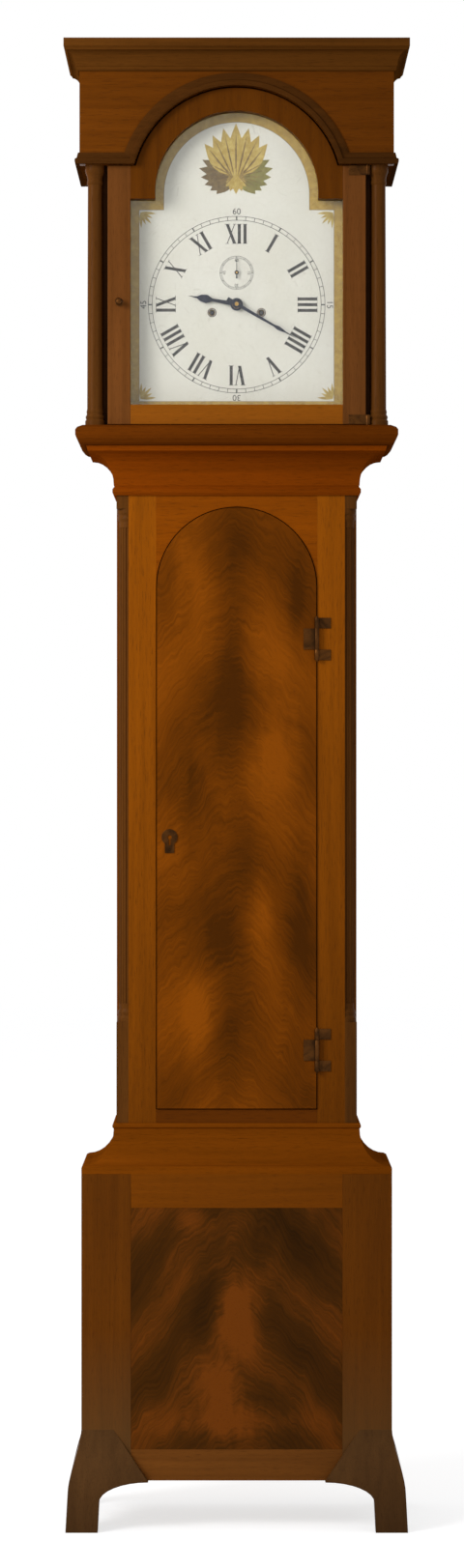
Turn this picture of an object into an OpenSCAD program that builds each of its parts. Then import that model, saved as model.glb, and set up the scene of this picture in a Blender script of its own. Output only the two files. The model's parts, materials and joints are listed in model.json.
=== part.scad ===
/* [Base] */
// Width of the base box
base_w = 464; // [420:1:520]
// Height of the base box, from the skirt to the waist moulding
base_h = 458; // [400:1:520]
// Height of the open gap under the skirt
foot_h = 74; // [50:1:100]
// How far the feet splay beyond the base
foot_splay = 23; // [12:1:30]
// Height of the splayed part of a foot
foot_rise = 150; // [120:1:180]
// Width of a front foot at the floor
foot_w = 48; // [36:1:60]
// Width of the veneered base panel
base_panel_w = 316; // [260:1:340]
// Height of the veneered base panel
base_panel_h = 361; // [300:1:380]
// Thickness of the veneered panel
base_panel_t = 4; // [3:0.5:6]
// Height of the waist moulding
waist_h = 72; // [56:1:90]

/* [Trunk] */
// Width of the trunk
trunk_w = 362; // [330:1:390]
// Depth of the trunk
trunk_d = 180; // [170:1:200]
// Height of the trunk, between its mouldings
trunk_h = 946; // [900:1:1000]
// Thickness of the case boards
board_t = 18; // [14:1:22]
// Thickness of the backboard
back_t = 12; // [8:1:16]
// Width of the trunk door
door_w = 240; // [210:1:250]
// Height of the trunk door above the waist moulding
door_lift = 22; // [12:1:40]
// Height of the trunk door from its foot to the centre of its arch
door_h = 787; // [740:1:800]
// How far the trunk door stands proud of its frame
door_proud = 3; // [1:0.5:5]
// Height of the keyhole above the foot of the trunk door
lock_rise = 409; // [340:1:440]
// Gap round a door
door_gap = 1.5; // [1:0.25:3]
// Radius of a quarter column
quarter_r = 16; // [12:1:20]
// Height of a quarter column's plinth
quarter_plinth_h = 152; // [100:1:180]
// Height of the throat moulding
throat_h = 72; // [54:1:76]

/* [Hood] */
// Width of the hood's base frame
hood_w = 452; // [436:1:476]
// Height of the hood's base frame
hood_base_h = 30; // [24:1:40]
// Height from the base frame to the board over the columns
hood_open_h = 390; // [384:1:400]
// Height of the arched front board, up to the cornice
frieze_h = 139; // [136:1:160]
// How far the cornice box stands out past the base frame at each side
frieze_out = 9; // [4:1:14]
// How far the arched front board stands in front of the base frame
frieze_front = 3; // [2:0.5:5]
// Height of the cornice
cornice_h = 46; // [36:1:60]
// How far the cornice stands out from the front board
cornice_out = 23; // [16:1:30]
// Width of the hood door
hood_door_w = 386; // [372:1:390]
// Thickness of the hood door
hood_door_t = 20; // [16:1:22]
// Width of a hood door's stile
stile_w = 34; // [28:1:40]
// Height of the hood door's bottom rail
bottom_rail = 31; // [26:1:38]
// Radius of the hood door's outer arch
hood_arch_r = 156; // [150:1:160]
// Width of the arch moulding
arch_band_w = 19; // [12:1:20]
// How far the arch moulding stands out
arch_band_out = 7; // [6:0.5:8]
// Radius of a hood column
column_r = 12; // [10:0.5:14]
// Thickness of the glass
glass_t = 2.5; // [2:0.5:4]

/* [Dial] */
// Width of the dial plate
dial_w = 330; // [322:1:340]
// Thickness of the dial plate
dial_t = 2; // [1.5:0.25:3]
// Radius of the dial plate's arch
dial_arch_r = 130; // [124:1:134]
// Height of the dial's centre above the foot of the hood
dial_rise = 214; // [206:1:218]
// Length of the minute hand
minute_len = 106; // [90:1:120]
// Length of the hour hand
hour_len = 74; // [60:1:84]
// Length of the seconds hand
seconds_len = 24; // [16:1:28]

/* [Movement] */
// Width of the movement plates
plate_w = 134; // [128:1:150]
// Height of the movement plates
plate_h = 186; // [180:1:200]
// Thickness of the movement plates
plate_t = 3.5; // [3:0.5:5]
// Clear space between the movement plates
plate_gap = 58; // [56:1:64]
// Teeth of the great wheel
great_teeth = 96; // [92:1:98]
// Teeth of the centre wheel
centre_teeth = 60; // [56:1:62]
// Teeth of the third wheel
third_teeth = 56; // [54:1:58]
// Teeth of the escape wheel
escape_teeth = 30; // [26:1:32]
// Radius of the escape wheel
escape_r = 19; // [17:0.5:19.5]
// Radius of a gut barrel
barrel_r = 25; // [22:0.5:26]
// Sideways distance of the winding squares from the dial centre
winding_x = 37; // [36.5:0.5:42]
// Drop of the winding squares below the dial centre
winding_drop = 12; // [8:0.5:14]
// Height of the seconds arbor above the dial centre
seconds_rise = 48; // [44:0.5:50]
// Length of the pendulum from its spring to the bob's centre
pendulum_len = 994; // [900:1:994]
// Radius of the pendulum bob
bob_r = 54; // [45:1:60]
// Radius of a weight
weight_r = 32; // [26:1:34]
// Height of a weight
weight_h = 200; // [160:1:220]
// Radius of the groove of a weight's pulley
pulley_r = 17; // [15:0.5:19]
// Radius of a gut line
gut_r = 0.8; // [0.6:0.1:1.2]
// Length of line from the seatboard to a pulley's centre when its weight is wound up
line_short = 299; // [240:1:340]

/* [Hidden] */
$fn = 48;

// Air between pieces that slide or swing past each other
slide_gap = 0.5;
// Radial air of an arbor or a pin in its hole
run_gap = 0.05;

// Steps between the three boxes of the case
base_step = (base_w - trunk_w) / 2;
hood_step = (hood_w - trunk_w) / 2;
foot_depth = trunk_d + base_step + foot_splay;
cornice_depth = trunk_d + hood_step + frieze_front + cornice_out;
// Back plane of the case, and the fronts of its boxes
yb = max(foot_depth, cornice_depth) / 2;
trunk_y = yb - trunk_d;
base_y = trunk_y - base_step;
hood_y = trunk_y - hood_step;
frieze_y = hood_y - frieze_front;
frieze_w = hood_w + 2 * frieze_out;
// Levels of the case
base_z = foot_h;
waist_z = base_z + base_h;
trunk_z = waist_z + waist_h;
throat_z = trunk_z + trunk_h;
hood_z = throat_z + throat_h;
open_z = hood_z + hood_base_h;
frieze_z = open_z + hood_open_h;
cornice_z = frieze_z + frieze_h;
dial_z = hood_z + dial_rise;
arch_z = dial_z + dial_w / 2;

// Base and feet
panel_lift = (base_h - base_panel_h) / 2 - 2;
bottom_t = 12;
bottom_lift = 10;
foot_t = 20;
foot_reach = 100;
foot_neck = 50;
foot_steps = 16;
// Height of the foot at which its inner edge starts to curve, as a share of the foot
neck_share = 0.6;
// Trunk
inside_run = 40;
corner = quarter_r + 2;
frame_half = trunk_w / 2 - corner;
door_z = trunk_z + door_lift;
door_arch_z = door_z + door_h - door_gap;
door_back = trunk_y + board_t - 2;
hinge_h = 64;
hinge_r = 3.5;
hinge_pin_r = 1.6;
leaf_t = 1.6;
leaf_w = 20;
hinge_inset = 88;
trunk_hinge_x = door_w / 2 + door_gap / 2;
trunk_hinge_y = trunk_y - door_proud - hinge_r - 0.1;
trunk_hinges_z = [door_z + hinge_inset, door_arch_z - hinge_inset + 10];
lock_z = door_z + lock_rise;
lock_x = -door_w / 2 + 19;
lock_half_h = 30;
lock_t = 6;
bolt_h = 14;
bolt_t = 5;
bolt_len = 24;
bolt_travel = 6;
bolt_y = trunk_y + 6;
quarter_top = throat_z - 20;
quarter_foot = trunk_z + quarter_plinth_h;
// Hood
hood_door_y = hood_y + 2;
hood_door_back = hood_door_y + hood_door_t;
hood_hinge_x = hood_door_w / 2 + 2.5;
hood_pin_r = 2.5;
hood_pin_len = 10;
strap_w = 14;
strap_t = 2.5;
mask_t = 8;
mask_y = hood_door_back + slide_gap;
mask_rim = 1;
sight_w = hood_door_w - 2 * stile_w;
sight_arch_r = hood_arch_r - stile_w;
sight_z = open_z + bottom_rail;
sight_drop = 10;
glass_y = hood_door_y + 12;
glass_lap = 6;
side_inner = hood_door_w / 2 + 7;
hood_side_outer = hood_w / 2 - 8;
column_x = hood_w / 2 - column_r - 1.5;
column_y = hood_y + column_r + 1.5;
cornice_in = 10;
base_mould_out = 15;
side_front = column_y + column_r + 3;
block_h = 20;
arch_cut_r = hood_arch_r + 2.5;
top_t = 12;
// Dial and movement
dial_y = mask_y + mask_t + 3;
front_plate_y = trunk_y + board_t + slide_gap;
plate_y = front_plate_y + plate_t;
back_plate_y = plate_y + plate_gap;
pendulum_y = back_plate_y + plate_t + 36;
arbor_r = 1.6;
pivot_r = 1.5;
barrel_z = dial_z - winding_drop;
line_y = back_plate_y - 25;
drum_half = 16.5;
great_y = back_plate_y - 4.5;
great_t = 2.5;
wheel_t = 2;
pinion_t = 5;
centre_wheel_y = plate_y + 6;
third_wheel_y = plate_y + 18;
third_pinion_y = centre_wheel_y + 1;
escape_wheel_y = plate_y + 34;
// Leaves of the pinions, and teeth of the motion work behind the dial
centre_leaves = 8;
third_leaves = 8;
escape_leaves = 7;
minute_leaves = 6;
cannon_teeth = 40;
hour_teeth = 72;
stud_r = 0.9;
great_m = 2 * sqrt(pow(winding_x, 2) + pow(winding_drop, 2)) / (great_teeth + centre_leaves);
great_angle = atan2(winding_drop, -winding_x);
centre_m = 0.8;
third_m = 0.72;
centre_reach = centre_m * (centre_teeth + third_leaves) / 2;
third_reach = third_m * (third_teeth + escape_leaves) / 2;
third_up = (pow(centre_reach, 2) - pow(third_reach, 2) + pow(seconds_rise, 2)) / (2 * seconds_rise);
third_x = -sqrt(max(0.01, pow(centre_reach, 2) - pow(third_up, 2)));
third_z = dial_z + third_up;
escape_z = dial_z + seconds_rise;
motion_reach = 24;
winding_r = 3;
strike_teeth = 84;
pillar_x = plate_w / 2 - 17;
pillars_z = [dial_z - plate_h / 2 + 10, dial_z + plate_h / 2 - 33];
dial_feet_z = [dial_z - plate_h / 2 + 12, dial_z + plate_h / 2 - 19];
cannon_m = motion_reach / cannon_teeth;
hour_m = 2 * motion_reach / (hour_teeth + minute_leaves);
motion_y = front_plate_y - 4;
hour_wheel_y = front_plate_y - 8;
anchor_z = escape_z + 29;
cannon_r = 4;
pipe_r = 6.2;
hour_hand_y = dial_y - 4;
minute_hand_y = dial_y - 8;
seconds_hand_y = dial_y - 3;
hand_t = 1;
cock_half = 8;
cock_lift = 6;
cock_t = 8;
cock_end = 6;
spring_t = 0.4;
spring_len = 25;
crutch_y = back_plate_y + plate_t + 3;
crutch_len = 128;
pendulum_rod_r = 2.5;
bob_z = anchor_z - pendulum_len;
bob_t = 28;
nut_r = 9;
nut_h = 6;
pulley_pin_r = 2;
// Seatboard, lines and weights
seat_t = 22;
seat_z = dial_z - plate_h / 2;
seat_front = front_plate_y;
seat_back = back_plate_y + plate_t + 10;
line_air = 0.3;
line_out_x = winding_x + barrel_r + gut_r + line_air;
weight_x = line_out_x - pulley_r - gut_r - line_air;
line_in_x = weight_x - pulley_r - gut_r - line_air;
pulley_z = seat_z - line_short;
weight_foot_z = pulley_z - weight_h - 44;
pulley_half = 3;
seat_hole_r = 4;
// Bell and hammer
bell_r = 48;
bell_z = dial_z + plate_h / 2 + 30;
bell_wall = 2.5;
bell_y = plate_y + plate_gap / 2;
stand_x = 34;
hammer_x = -30;
hammer_z = dial_z + plate_h / 2 - 13;
hammer_end = bell_r + 9;
// Time the hands show: hours and minutes
shown_hour = 9;
shown_minute = 20;

// Board with its outline drawn in x and z, lying between two depths
module board(y0, y1) {
  translate([0, y1, 0])
    rotate([90, 0, 0])
      linear_extrude(y1 - y0)
        children();
}

// Both hands of a piece that stands left and right
module pair() {
  children();
  mirror([1, 0, 0])
    children();
}

// Moulding round the front and two sides of a box, mitred at its corners.
// The profile's x runs outwards from the box, from -inset to out, and its y from 0 to h
module moulding(half, front, out, h, inset = 0) {
  difference() {
    intersection() {
      translate([-half - out, front, 0])
        rotate([90, 0, 90])
          linear_extrude(2 * (half + out)) {
            mirror([1, 0])
              children();
            square([yb - front, h]);
          }
      translate([0, yb, 0])
        rotate([90, 0, 0])
          linear_extrude(yb - front + out) {
            translate([half, 0])
              children();
            mirror([1, 0])
              translate([half, 0])
                children();
            translate([-half, 0])
              square([2 * half, h]);
          }
    }
    translate([-half + inset, front + inset, -1])
      cube([2 * (half - inset), yb - front, h + 2]);
  }
}

// Points of a quarter hollow from one corner to the other
function hollow(x0, z0, x1, z1, n = 8) =
  [for (i = [0:n]) [x0 + (x1 - x0) * (1 - cos(90 * i / n)), z0 + (z1 - z0) * sin(90 * i / n)]];

// Outline of an arched door: its half width, its foot, its arch's centre and the arch's radius
module arched(half, foot, shoulder, centre, r) {
  translate([-half, foot])
    square([2 * half, shoulder - foot]);
  intersection() {
    translate([0, centre])
      circle(r, $fn = 96);
    translate([-r, shoulder - 1])
      square([2 * r, r + centre - shoulder + 2]);
  }
}

module backboard() color("saddlebrown") {
  board(yb - back_t, yb) {
    translate([-base_w / 2 + board_t, base_z])
      square([base_w - 2 * board_t, base_h]);
    translate([-trunk_w / 2 + board_t, waist_z - 1])
      square([trunk_w - 2 * board_t, open_z - waist_z + 2]);
    translate([-side_inner + slide_gap, open_z + slide_gap])
      square([2 * (side_inner - slide_gap), cornice_z - top_t - open_z - slide_gap]);
  }
}

module base_front() color("sienna") difference() {
  translate([-base_w / 2, base_y, base_z])
    cube([base_w, board_t, base_h]);
  translate([-base_panel_w / 2, base_y - 1, base_z + panel_lift])
    cube([base_panel_w, base_panel_t + 1, base_panel_h]);
}

module base_panel() color("saddlebrown")
  translate([-base_panel_w / 2, base_y, base_z + panel_lift])
    cube([base_panel_w, base_panel_t, base_panel_h]);

module base_sides() color("sienna") pair()
  translate([base_w / 2 - board_t, base_y + board_t, base_z])
    cube([board_t, yb - base_y - board_t, base_h]);

module bottom_board() color("peru")
  translate([-base_w / 2 + board_t, base_y + board_t, base_z + bottom_lift])
    cube([base_w - 2 * board_t, yb - back_t - base_y - board_t, bottom_t]);

// Share of the splay at a share of the foot's rise: it leans a little, then sweeps in to the base
function splay_share(t) =
  let (sweep = max(0, (t - 0.4) / 0.6))
    0.35 * (1 - t) + 0.65 * (1 - sweep * sweep * (3 - 2 * sweep));

// One board of a splayed bracket foot, running from its corner at the origin towards -x
module foot_board() {
  intersection() {
    translate([-foot_reach, 0, 0])
      rotate([90, 0, 90])
        linear_extrude(foot_reach + foot_splay + 1)
          polygon(concat(
            [for (i = [0:foot_steps])
              [-foot_splay * splay_share(i / foot_steps), foot_rise * i / foot_steps]],
            [[0, foot_h], [foot_t, foot_h], [foot_t - foot_splay, 0]]));
    translate([0, foot_t + 1, 0])
      rotate([90, 0, 0])
        linear_extrude(foot_t + foot_splay + 2)
          polygon(concat(
            [[foot_splay + 1, 0], [foot_splay - foot_w, 0]],
            hollow(-foot_neck + foot_splay, foot_h * neck_share, -foot_reach, foot_h),
            [[-foot_w, foot_rise], [foot_splay + 1, foot_rise]]));
    linear_extrude(foot_rise)
      polygon([[foot_splay + 1, -foot_splay - 1], [-foot_reach, -foot_splay - 1],
               [-foot_reach, foot_reach], [-foot_t - 1, foot_t + 1]]);
  }
}

module front_feet() color("saddlebrown") pair()
  translate([base_w / 2, base_y, 0]) {
    foot_board();
    mirror([1, 1, 0])
      foot_board();
  }

module rear_feet() color("saddlebrown") pair()
  translate([base_w / 2, yb, 0])
    intersection() {
      mirror([0, 1, 0])
        mirror([1, 1, 0])
          foot_board();
      translate([-foot_reach, -foot_reach - foot_splay, 0])
        cube([foot_reach + foot_splay + 2, foot_reach + foot_splay, foot_rise]);
    }

module waist_moulding() color("sienna")
  translate([0, 0, waist_z])
    moulding(trunk_w / 2, trunk_y, base_step, waist_h)
      polygon(concat([[0, 0], [0, waist_h], [3, waist_h], [6, waist_h - 3], [6, waist_h - 6]],
                     hollow(4, waist_h - 8, base_step - 4, 11),
                     [[base_step, 9], [base_step, 0]]));

module throat_moulding() color("sienna")
  translate([0, 0, throat_z])
    moulding(trunk_w / 2, trunk_y, hood_step, throat_h)
      polygon(concat([[0, 0], [3, 0], [6, 4], [6, 9], [3, 13]],
                     hollow(4, 15, hood_step - 5, throat_h - 8),
                     [[hood_step - 3, throat_h - 8], [hood_step - 1, throat_h], [0, throat_h]]));

module trunk_sides() color("sienna") pair() {
  translate([trunk_w / 2 - board_t, trunk_y + corner, waist_z])
    cube([board_t, yb - trunk_y - corner, hood_z - waist_z]);
  translate([trunk_w / 2 - board_t, trunk_y + corner, waist_z - inside_run])
    cube([board_t, yb - back_t - trunk_y - corner, inside_run + 1]);
  translate([trunk_w / 2 - board_t, trunk_y + board_t, hood_z - 1])
    cube([board_t, yb - back_t - trunk_y - board_t, seat_z - seat_t - hood_z + 1]);
}

module trunk_front_frame() color("sienna") difference() {
  translate([-frame_half, trunk_y, waist_z - inside_run])
    cube([2 * frame_half, board_t, hood_z - waist_z + inside_run]);
  board(trunk_y - 1, trunk_y + board_t + 1)
    arched(door_w / 2 + door_gap, door_z - door_gap, door_arch_z, door_arch_z, door_w / 2 + door_gap);
  translate([-door_w / 2 - door_gap - bolt_travel - 3, bolt_y - 1, lock_z - bolt_h / 2 - 1])
    cube([bolt_travel + 4, bolt_t + 2, bolt_h + 2]);
}

// Quarter columns with their caps, feet and square plinths
module quarter_columns() color("saddlebrown") pair()
  translate([frame_half, trunk_y + corner, 0]) {
    translate([0, -corner, waist_z - inside_run])
      cube([corner, corner, quarter_foot - waist_z + inside_run]);
    translate([0, -corner, quarter_top])
      cube([corner, corner, hood_z - quarter_top]);
    intersection() {
      difference() {
        rotate_extrude()
          polygon([[0, quarter_foot], [quarter_r + 2, quarter_foot], [quarter_r + 2, quarter_foot + 6],
                   [quarter_r, quarter_foot + 10], [quarter_r + 1, quarter_foot + 15],
                   [quarter_r - 1, quarter_foot + 20], [quarter_r - 1, quarter_top - 20],
                   [quarter_r + 1, quarter_top - 15], [quarter_r, quarter_top - 10],
                   [quarter_r + 2, quarter_top - 6], [quarter_r + 2, quarter_top], [0, quarter_top]]);
        for (i = [0:4])
          rotate([0, 0, -9 - 18 * i])
            translate([quarter_r - 0.4, 0, quarter_foot + 28])
              cylinder(r = 1.9, h = quarter_top - quarter_foot - 56, $fn = 16);
      }
      translate([0, -corner, quarter_foot])
        cube([corner, corner, quarter_top - quarter_foot]);
    }
  }

// A row of knuckles on one hinge line, with its own leaf
module hinge_knuckles(x, y, foot, spans) {
  for (s = spans)
    translate([x, y, foot + s[0]])
      difference() {
        cylinder(r = hinge_r, h = s[1] - s[0]);
        translate([0, 0, -1])
          cylinder(r = hinge_pin_r + run_gap, h = s[1] - s[0] + 2);
      }
}

module trunk_hinge_leaves() color("goldenrod")
  for (z = trunk_hinges_z) {
    hinge_knuckles(trunk_hinge_x, trunk_hinge_y, z - hinge_h / 2,
                   [[0, hinge_h / 4], [3 * hinge_h / 4, hinge_h]]);
    for (s = [0, 3 * hinge_h / 4])
      difference() {
        union() {
          translate([trunk_hinge_x, trunk_hinge_y, z - hinge_h / 2 + s])
            cube([hinge_r, trunk_y - trunk_hinge_y, hinge_h / 4]);
          translate([trunk_hinge_x + 1, trunk_y - leaf_t, z - hinge_h / 2 + s])
            cube([leaf_w, leaf_t, hinge_h / 4]);
        }
        translate([trunk_hinge_x, trunk_hinge_y, z - hinge_h])
          cylinder(r = hinge_pin_r + run_gap, h = 2 * hinge_h);
      }
  }

module trunk_door() color("chocolate") difference() {
  board(trunk_y - door_proud, door_back)
    arched(door_w / 2, door_z, door_arch_z, door_arch_z, door_w / 2);
  translate([-door_w / 2 - 1, bolt_y - 0.5, lock_z - bolt_h / 2 - 0.5])
    cube([bolt_len + bolt_travel + 2, bolt_t + 1, bolt_h + 1]);
}

module trunk_door_hinges() color("goldenrod")
  for (z = trunk_hinges_z) {
    translate([trunk_hinge_x, trunk_hinge_y, z - hinge_h / 2 - 2])
      cylinder(r = hinge_pin_r, h = hinge_h + 4);
    translate([trunk_hinge_x, trunk_hinge_y, z - hinge_h / 4 + 0.3])
      cylinder(r = hinge_r, h = hinge_h / 2 - 0.6);
    translate([trunk_hinge_x - leaf_w, trunk_y - door_proud - leaf_t, z - hinge_h / 4 + 0.3])
      cube([leaf_w, leaf_t, hinge_h / 2 - 0.6]);
  }

module trunk_escutcheon() color("goldenrod") difference() {
  board(trunk_y - door_proud - leaf_t, trunk_y - door_proud)
    translate([lock_x, lock_z]) {
      circle(12);
      translate([-7, -24])
        square([14, 24]);
    }
  board(trunk_y - door_proud - leaf_t - 1, trunk_y) {
    translate([lock_x, lock_z])
      circle(3.2);
    translate([lock_x - 1.4, lock_z - 12])
      square([2.8, 12]);
  }
}

module trunk_lock() color("dimgray")
  translate([lock_x - 15, door_back, lock_z - lock_half_h])
    cube([32, lock_t, 2 * lock_half_h]);

module lock_bolt() color("gray")
  translate([-door_w / 2 + 0.5, bolt_y, lock_z - bolt_h / 2])
    cube([bolt_len, bolt_t, bolt_h]);

module pin_bore(z, depth)
  translate([hood_hinge_x, hood_door_y, z])
    cylinder(r = hood_pin_r + run_gap, h = depth);

module hood_base() color("sienna") difference() {
  union() {
    translate([-hood_w / 2, hood_y, hood_z + slide_gap])
      cube([hood_w, hood_step - slide_gap, hood_base_h - slide_gap]);
    pair()
      translate([trunk_w / 2 + slide_gap, hood_y + hood_step - 1, hood_z + slide_gap])
        cube([hood_step - slide_gap, yb - hood_y - hood_step + 1, hood_base_h - slide_gap]);
    translate([0, 0, hood_z + slide_gap])
      moulding(hood_w / 2, hood_y, base_mould_out, hood_base_h - slide_gap)
        polygon([[0, 0], [3, 0], [8, 3], [base_mould_out - 2, 9], [base_mould_out, 14],
                 [base_mould_out, hood_base_h - 8], [base_mould_out - 3, hood_base_h - 4],
                 [4, hood_base_h - slide_gap], [0, hood_base_h - slide_gap]]);
  }
  pin_bore(open_z - hood_pin_len - 1, hood_pin_len + 2);
}

module hood_sides() color("sienna") pair() {
  translate([side_inner, side_front, open_z])
    cube([hood_side_outer - side_inner, yb - side_front, cornice_z - open_z]);
  translate([frieze_w / 2 - board_t, frieze_y + board_t, frieze_z])
    cube([board_t, yb - frieze_y - board_t, frieze_h]);
  translate([side_inner, frieze_y + board_t, frieze_z])
    cube([frieze_w / 2 - side_inner, side_front - frieze_y - board_t + 1, block_h]);
}

module hood_columns() color("saddlebrown") pair()
  translate([column_x, column_y, open_z])
    rotate_extrude()
      polygon([[0, 0], [column_r + 2.5, 0], [column_r + 2.5, 7], [column_r + 1, 9], [column_r + 2, 13],
               [column_r, 17], [column_r + 0.5, 21], [column_r - 0.5, 25],
               [column_r - 1.5, hood_open_h - 30], [column_r, hood_open_h - 27],
               [column_r - 1, hood_open_h - 22], [column_r, hood_open_h - 16],
               [column_r + 2, hood_open_h - 11], [column_r + 2.5, hood_open_h - 8],
               [column_r + 2.5, hood_open_h], [0, hood_open_h]]);

module hood_tympanum() color("sienna") difference() {
  board(frieze_y, frieze_y + board_t)
    difference() {
      translate([-frieze_w / 2, frieze_z])
        square([frieze_w, frieze_h]);
      translate([0, arch_z])
        circle(arch_cut_r, $fn = 96);
    }
  pin_bore(frieze_z - 1, hood_pin_len + 2);
}

// Arch moulding with its level ends, returned along the hood's sides
module hood_arch_moulding() color("saddlebrown") {
  intersection() {
    translate([0, frieze_y, arch_z])
      rotate([90, 0, 0])
        rotate_extrude($fn = 96)
          polygon([[arch_cut_r, 0], [arch_cut_r, arch_band_out - 1], [arch_cut_r + 3, arch_band_out],
                   [arch_cut_r + 7, arch_band_out], [arch_cut_r + 9, arch_band_out - 3],
                   [arch_cut_r + arch_band_w - 3, 3], [arch_cut_r + arch_band_w, 2],
                   [arch_cut_r + arch_band_w, 0]]);
    translate([-frieze_w / 2, frieze_y - arch_band_out - 1, frieze_z])
      cube([frieze_w, arch_band_out + 2, frieze_h]);
  }
  difference() {
    translate([0, 0, frieze_z])
      moulding(frieze_w / 2, frieze_y, arch_band_out, arch_band_w - 2)
        polygon([[0, 0], [arch_band_out - 1, 0], [arch_band_out, 3], [arch_band_out, 7],
                 [arch_band_out - 3, 9], [3, arch_band_w - 5], [2, arch_band_w - 2], [0, arch_band_w - 2]]);
    translate([0, frieze_y + 1, arch_z])
      rotate([90, 0, 0])
        cylinder(r = arch_cut_r, h = arch_band_out + 3, $fn = 96);
  }
}

module hood_cornice() color("saddlebrown")
  translate([0, 0, cornice_z])
    moulding(frieze_w / 2, frieze_y, cornice_out, cornice_h, cornice_in)
      polygon(concat([[-cornice_in, 0], [2, 0], [4, 2], [4, 6]],
                     [for (i = [0:8]) [5 + (cornice_out - 9) * (1 - cos(90 * i / 8)),
                                       7 + (cornice_h - 24) * sin(90 * i / 8)]],
                     [[cornice_out - 3, cornice_h - 15], [cornice_out, cornice_h - 12],
                      [cornice_out, cornice_h], [-cornice_in, cornice_h]]));

module hood_top_board() color("peru")
  translate([-frieze_w / 2 + cornice_in, frieze_y + cornice_in, cornice_z])
    cube([frieze_w - 2 * cornice_in, yb - frieze_y - cornice_in, top_t]);

// Outline of the glazed opening, made larger by the given lap
module sight(lap = 0)
  arched(sight_w / 2 + lap, sight_z - lap, arch_z - sight_drop + lap, arch_z, sight_arch_r + lap);

module dial_mask() color("saddlebrown")
  board(mask_y, mask_y + mask_t)
    difference() {
      translate([-side_inner, open_z])
        square([2 * side_inner, cornice_z - slide_gap - open_z]);
      sight(mask_rim);
    }

module hood_door() color("chocolate") difference() {
  board(hood_door_y, hood_door_back)
    difference() {
      arched(hood_door_w / 2, open_z + door_gap, frieze_z - door_gap, arch_z, hood_arch_r);
      sight();
    }
  board(glass_y, hood_door_back + 1)
    sight(glass_lap);
}

module hood_glass() color("lightcyan", 0.4)
  board(glass_y, glass_y + glass_t)
    sight(glass_lap);

module hood_door_hinges() color("goldenrod") {
  for (z = [open_z + door_gap, frieze_z - door_gap - strap_w])
    translate([hood_hinge_x - 2 * strap_w, hood_door_y - leaf_t, z])
      cube([2 * strap_w + hood_pin_r + 1, leaf_t, strap_w]);
  translate([hood_hinge_x, hood_door_y, open_z - hood_pin_len])
    cylinder(r = hood_pin_r, h = hood_pin_len + strap_w);
  translate([hood_hinge_x, hood_door_y, frieze_z - door_gap - strap_w])
    cylinder(r = hood_pin_r, h = hood_pin_len + door_gap + strap_w);
}

module hood_door_knob() color("goldenrod")
  translate([-hood_door_w / 2 + stile_w / 2, hood_door_y, dial_z])
    rotate([90, 0, 0])
      rotate_extrude()
        polygon([[0, 0], [6, 0], [6, 1.5], [2.5, 3], [2.5, 6], [5, 8.5], [5.5, 11], [4, 13.5], [0, 14.5]]);

// Points of a wheel's or a pinion's outline, four to a tooth, in shares of the module
function teeth(n, m, add, ded, root_w, tip_w) =
  [for (k = [0:n - 1]) for (p = [[-ded, -root_w], [add, -tip_w], [add, tip_w], [-ded, root_w]])
    let (r = n * m / 2 + p[0] * m, a = 360 * k / n + p[1] * m / 2 / r * 180 / PI)
      [r * cos(a), r * sin(a)]];

// Lays a flat shape across the line of the arbors at x, z, with its back at y, t thick
module across(x, y, z, t, turn = 0)
  translate([x, y, z])
    rotate([90, 0, 0])
      rotate([0, 0, turn])
        linear_extrude(t)
          children();

// Crossed-out wheel with four spokes
module wheel_shape(n, m, add = 1, ded = 1.35, root_w = 1.75, tip_w = 0.55) {
  rim = n * m / 2 - ded * m - 2;
  difference() {
    polygon(teeth(n, m, add, ded, root_w, tip_w));
    if (rim > 9)
      difference() {
        circle(rim);
        circle(6.5);
        for (a = [45, 135])
          rotate(a)
            square([2 * rim + 1, 3], center = true);
      }
  }
}

module pinion_shape(n, m, root_w = 1)
  polygon(teeth(n, m, 0.5, 1.4, root_w, 0.45));

module rod(x, z, r, y0, y1)
  translate([x, y1, z])
    rotate([90, 0, 0])
      cylinder(r = r, h = y1 - y0);

// Arbor between the plates, with its two pivots
module arbor(x, z) {
  rod(x, z, arbor_r, plate_y + 0.3, back_plate_y - 0.3);
  rod(x, z, pivot_r, front_plate_y, back_plate_y + plate_t);
}

module pivot_holes(y0) {
  for (p = [[0, dial_z], [third_x, third_z], [0, escape_z], [0, anchor_z], [hammer_x, hammer_z]])
    rod(p[0], p[1], pivot_r + run_gap, y0 - 1, y0 + plate_t + 1);
  for (x = [-winding_x, winding_x])
    rod(x, barrel_z, winding_r + run_gap, y0 - 1, y0 + plate_t + 1);
}

module front_plate() color("goldenrod") difference() {
  translate([-plate_w / 2, front_plate_y, dial_z - plate_h / 2])
    cube([plate_w, plate_t, plate_h]);
  pivot_holes(front_plate_y);
  rod(0, dial_z - motion_reach, pivot_r + run_gap, front_plate_y - 1, plate_y + 1);
}

module back_plate() color("goldenrod") difference() {
  translate([-plate_w / 2, back_plate_y, dial_z - plate_h / 2])
    cube([plate_w, plate_t, plate_h]);
  pivot_holes(back_plate_y);
}

module plate_pillars() color("darkgoldenrod")
  for (x = [-pillar_x, pillar_x], z = pillars_z)
    translate([x, plate_y, z])
      rotate([-90, 0, 0])
        rotate_extrude()
          polygon([[0, 0], [6, 0], [6, 3], [4, 6], [4, plate_gap / 2 - 6], [6, plate_gap / 2],
                   [4, plate_gap / 2 + 6], [4, plate_gap - 6], [6, plate_gap - 3], [6, plate_gap], [0, plate_gap]]);

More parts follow.
